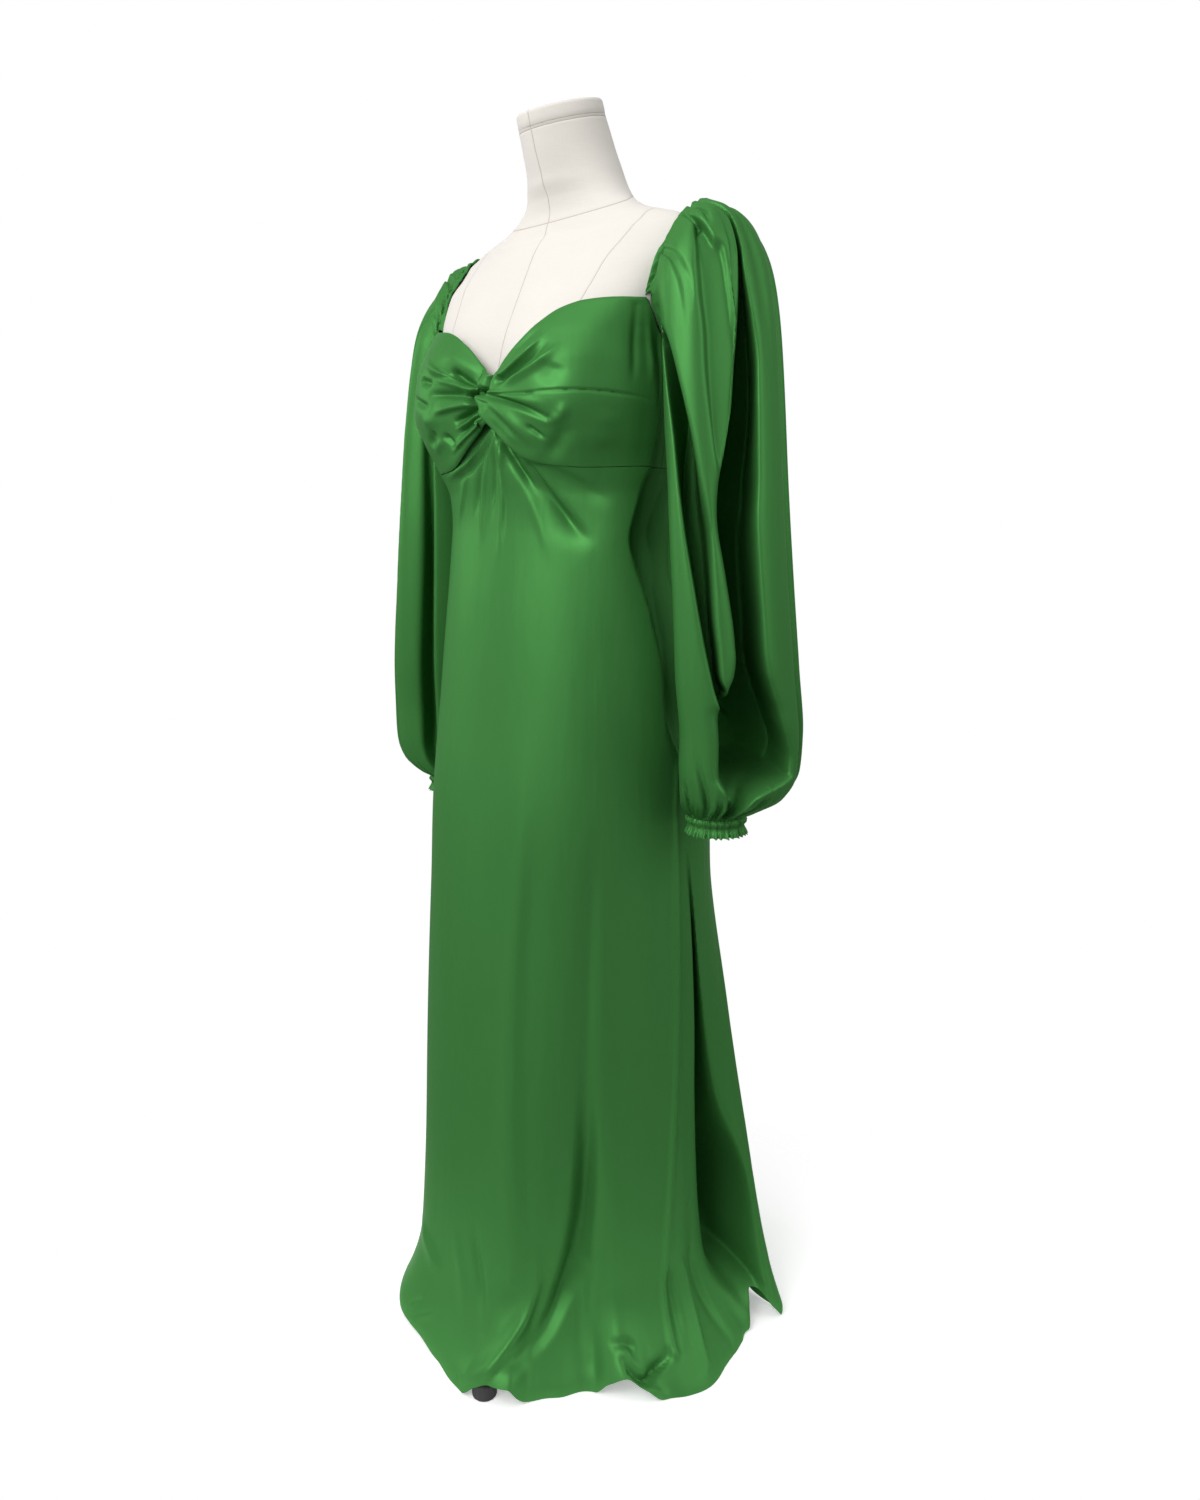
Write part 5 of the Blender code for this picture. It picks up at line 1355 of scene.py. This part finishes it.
def add_light(name, place, target, size, power):
    """A square area light at a place, facing a target."""
    lamp = bpy.data.lights.new(name, "AREA")
    lamp.size, lamp.energy = size, power
    holder = bpy.data.objects.new(name, lamp)
    bpy.context.scene.collection.objects.link(holder)
    holder.location = place
    holder.rotation_euler = (Vector(target) - Vector(place)).to_track_quat("-Z", "Y").to_euler()


# The room is white where the camera sees it.  As a light it has a dark upright band behind
# the camera, turned towards the wearer's left, and it is dimmer below the horizon.
DARK_TURN = math.radians(13)             # from behind the camera to the band's middle
DARK_EDGE, DARK_SOFT = 0.966, 0.026      # cosine of the band's half width, and its soft edge
DIM_SHARE = 0.55                         # strength of the room below the horizon
FLOOR_RADIUS = 3.0
FLOOR_SHOWN, FLOOR_FADE = 0.22, 0.22     # metres from the axis until it fades, and over which


class StudioBuilder(bpy.types.Operator):
    """Plain pale floor, soft studio light, a white room and the camera"""
    bl_idname = "dress.studio"
    bl_label = "Studio"

    def execute(self, context):
        scene = context.scene
        setup = scene.dress_studio
        disc = polar(np.arange(96) * 3.75, np.full(96, FLOOR_RADIUS), np.zeros(96))
        mesh = bpy.data.meshes.new("floor")
        mesh.from_pydata([tuple(p) for p in disc], [], [tuple(range(96))])
        made, shader, maths = new_material("pale floor", setup.floor_colour, 0.7)
        x, y, _ = xyz(maths)
        away = (x ** 2.0 + y ** 2.0) ** 0.5
        shade = noise(maths, point(maths, x, y, 0.0), 6.0, 3.0)
        floor_colour = setup.floor_colour
        colour = mixed(maths, shade, shade_of(floor_colour, 0.985), shade_of(floor_colour, 1))
        shown = (1.0 - (away - FLOOR_SHOWN) / FLOOR_FADE).clamped()
        feed(maths, shader, Base_Color=colour, Alpha=shown, Emission_Color=(1, 1, 1, 1),
             Emission_Strength=0.4)
        mesh.materials.append(made)
        floor = bpy.data.objects.new("floor", mesh)
        scene.collection.objects.link(floor)

        world = bpy.data.worlds.new("white studio")
        scene.world = world
        world.use_nodes = True
        back = world.node_tree.nodes["Background"]
        tree = Maths(world.node_tree, None)
        sight = tree.out("ShaderNodeLightPath", "Is Camera Ray")
        x, y, z = xyz(tree, "Generated")
        level = (x ** 2.0 + y ** 2.0) ** 0.5
        dark = setup.azimuth + DARK_TURN
        towards = (x * math.sin(dark) - y * math.cos(dark)) / level
        room = setup.room_strength * ((DARK_EDGE - towards) / DARK_SOFT).clamped()
        room = room * (DIM_SHARE + (1 - DIM_SHARE) * (z / 0.20 + 0.50).clamped())
        feed(tree, back, Strength=room + sight * (1.0 - room), Color=(1, 1, 1, 1))

        a = setup.azimuth
        add_light("key", (0.35, -1.65, 1.75), (0, 0, 0.85), 1.3, setup.key_power)
        add_light("side", (2.2, 0.8, 1.7), (0, 0, 0.6), 1.6, setup.side_power)
        add_light("far side", (-2.2, -1.0, 1.4), (0, 0, 0.7), 1.2, setup.far_power)
        add_light("top", (0.3, -0.6, 3.0), (0, 0, 0.6), 1.8, setup.fill_power)
        camera = bpy.data.cameras.new("camera")
        camera.sensor_fit, camera.sensor_height, camera.lens = "VERTICAL", 36, 27.84
        camera.shift_x, camera.shift_y = 0.018, -0.15
        holder = bpy.data.objects.new("camera", camera)
        scene.collection.objects.link(holder)
        holder.location = (setup.distance * math.sin(a), -setup.distance * math.cos(a), setup.height)
        holder.rotation_euler = (math.pi / 2, 0, a)
        scene.camera = holder
        scene.view_settings.view_transform = "Standard"
        return {"FINISHED"}


OPERATORS = (StudioBuilder, FormBuilder, BodiceBuilder, TwistBuilder, SkirtBuilder,
             SleeveBuilder, NeckEdgeBuilder, CuffBuilder, StandBuilder)


class DressPanel(bpy.types.Panel):
    """Buttons for each group of pieces, and the sizes and colours they use"""
    bl_idname = "VIEW3D_PT_dress"
    bl_label = "Satin dress"
    bl_space_type = "VIEW_3D"
    bl_region_type = "UI"
    bl_category = "Dress"

    def draw(self, context):
        """One button for each operator, then every setting."""
        for operator in OPERATORS:
            self.layout.operator(operator.bl_idname)
        for group in (context.scene.dress_looks, context.scene.dress_studio):
            for name in group.__annotations__:
                self.layout.prop(group, name)


CLASSES = (DressLooks, StudioSetup, *OPERATORS, DressPanel)


def register():
    """Add the classes to Blender and the settings to its scenes."""
    for cls in CLASSES:
        bpy.utils.register_class(cls)
    bpy.types.Scene.dress_looks = PointerProperty(type=DressLooks)
    bpy.types.Scene.dress_studio = PointerProperty(type=StudioSetup)


def unregister():
    """Take the settings and the classes away again."""
    del bpy.types.Scene.dress_looks
    del bpy.types.Scene.dress_studio
    for cls in reversed(CLASSES):
        bpy.utils.unregister_class(cls)


def main():
    """Make the pieces and the stage in order."""
    register()
    for operator in OPERATORS:
        group, name = operator.bl_idname.split(".")
        getattr(getattr(bpy.ops, group), name)()


if __name__ == "__main__":
    main()
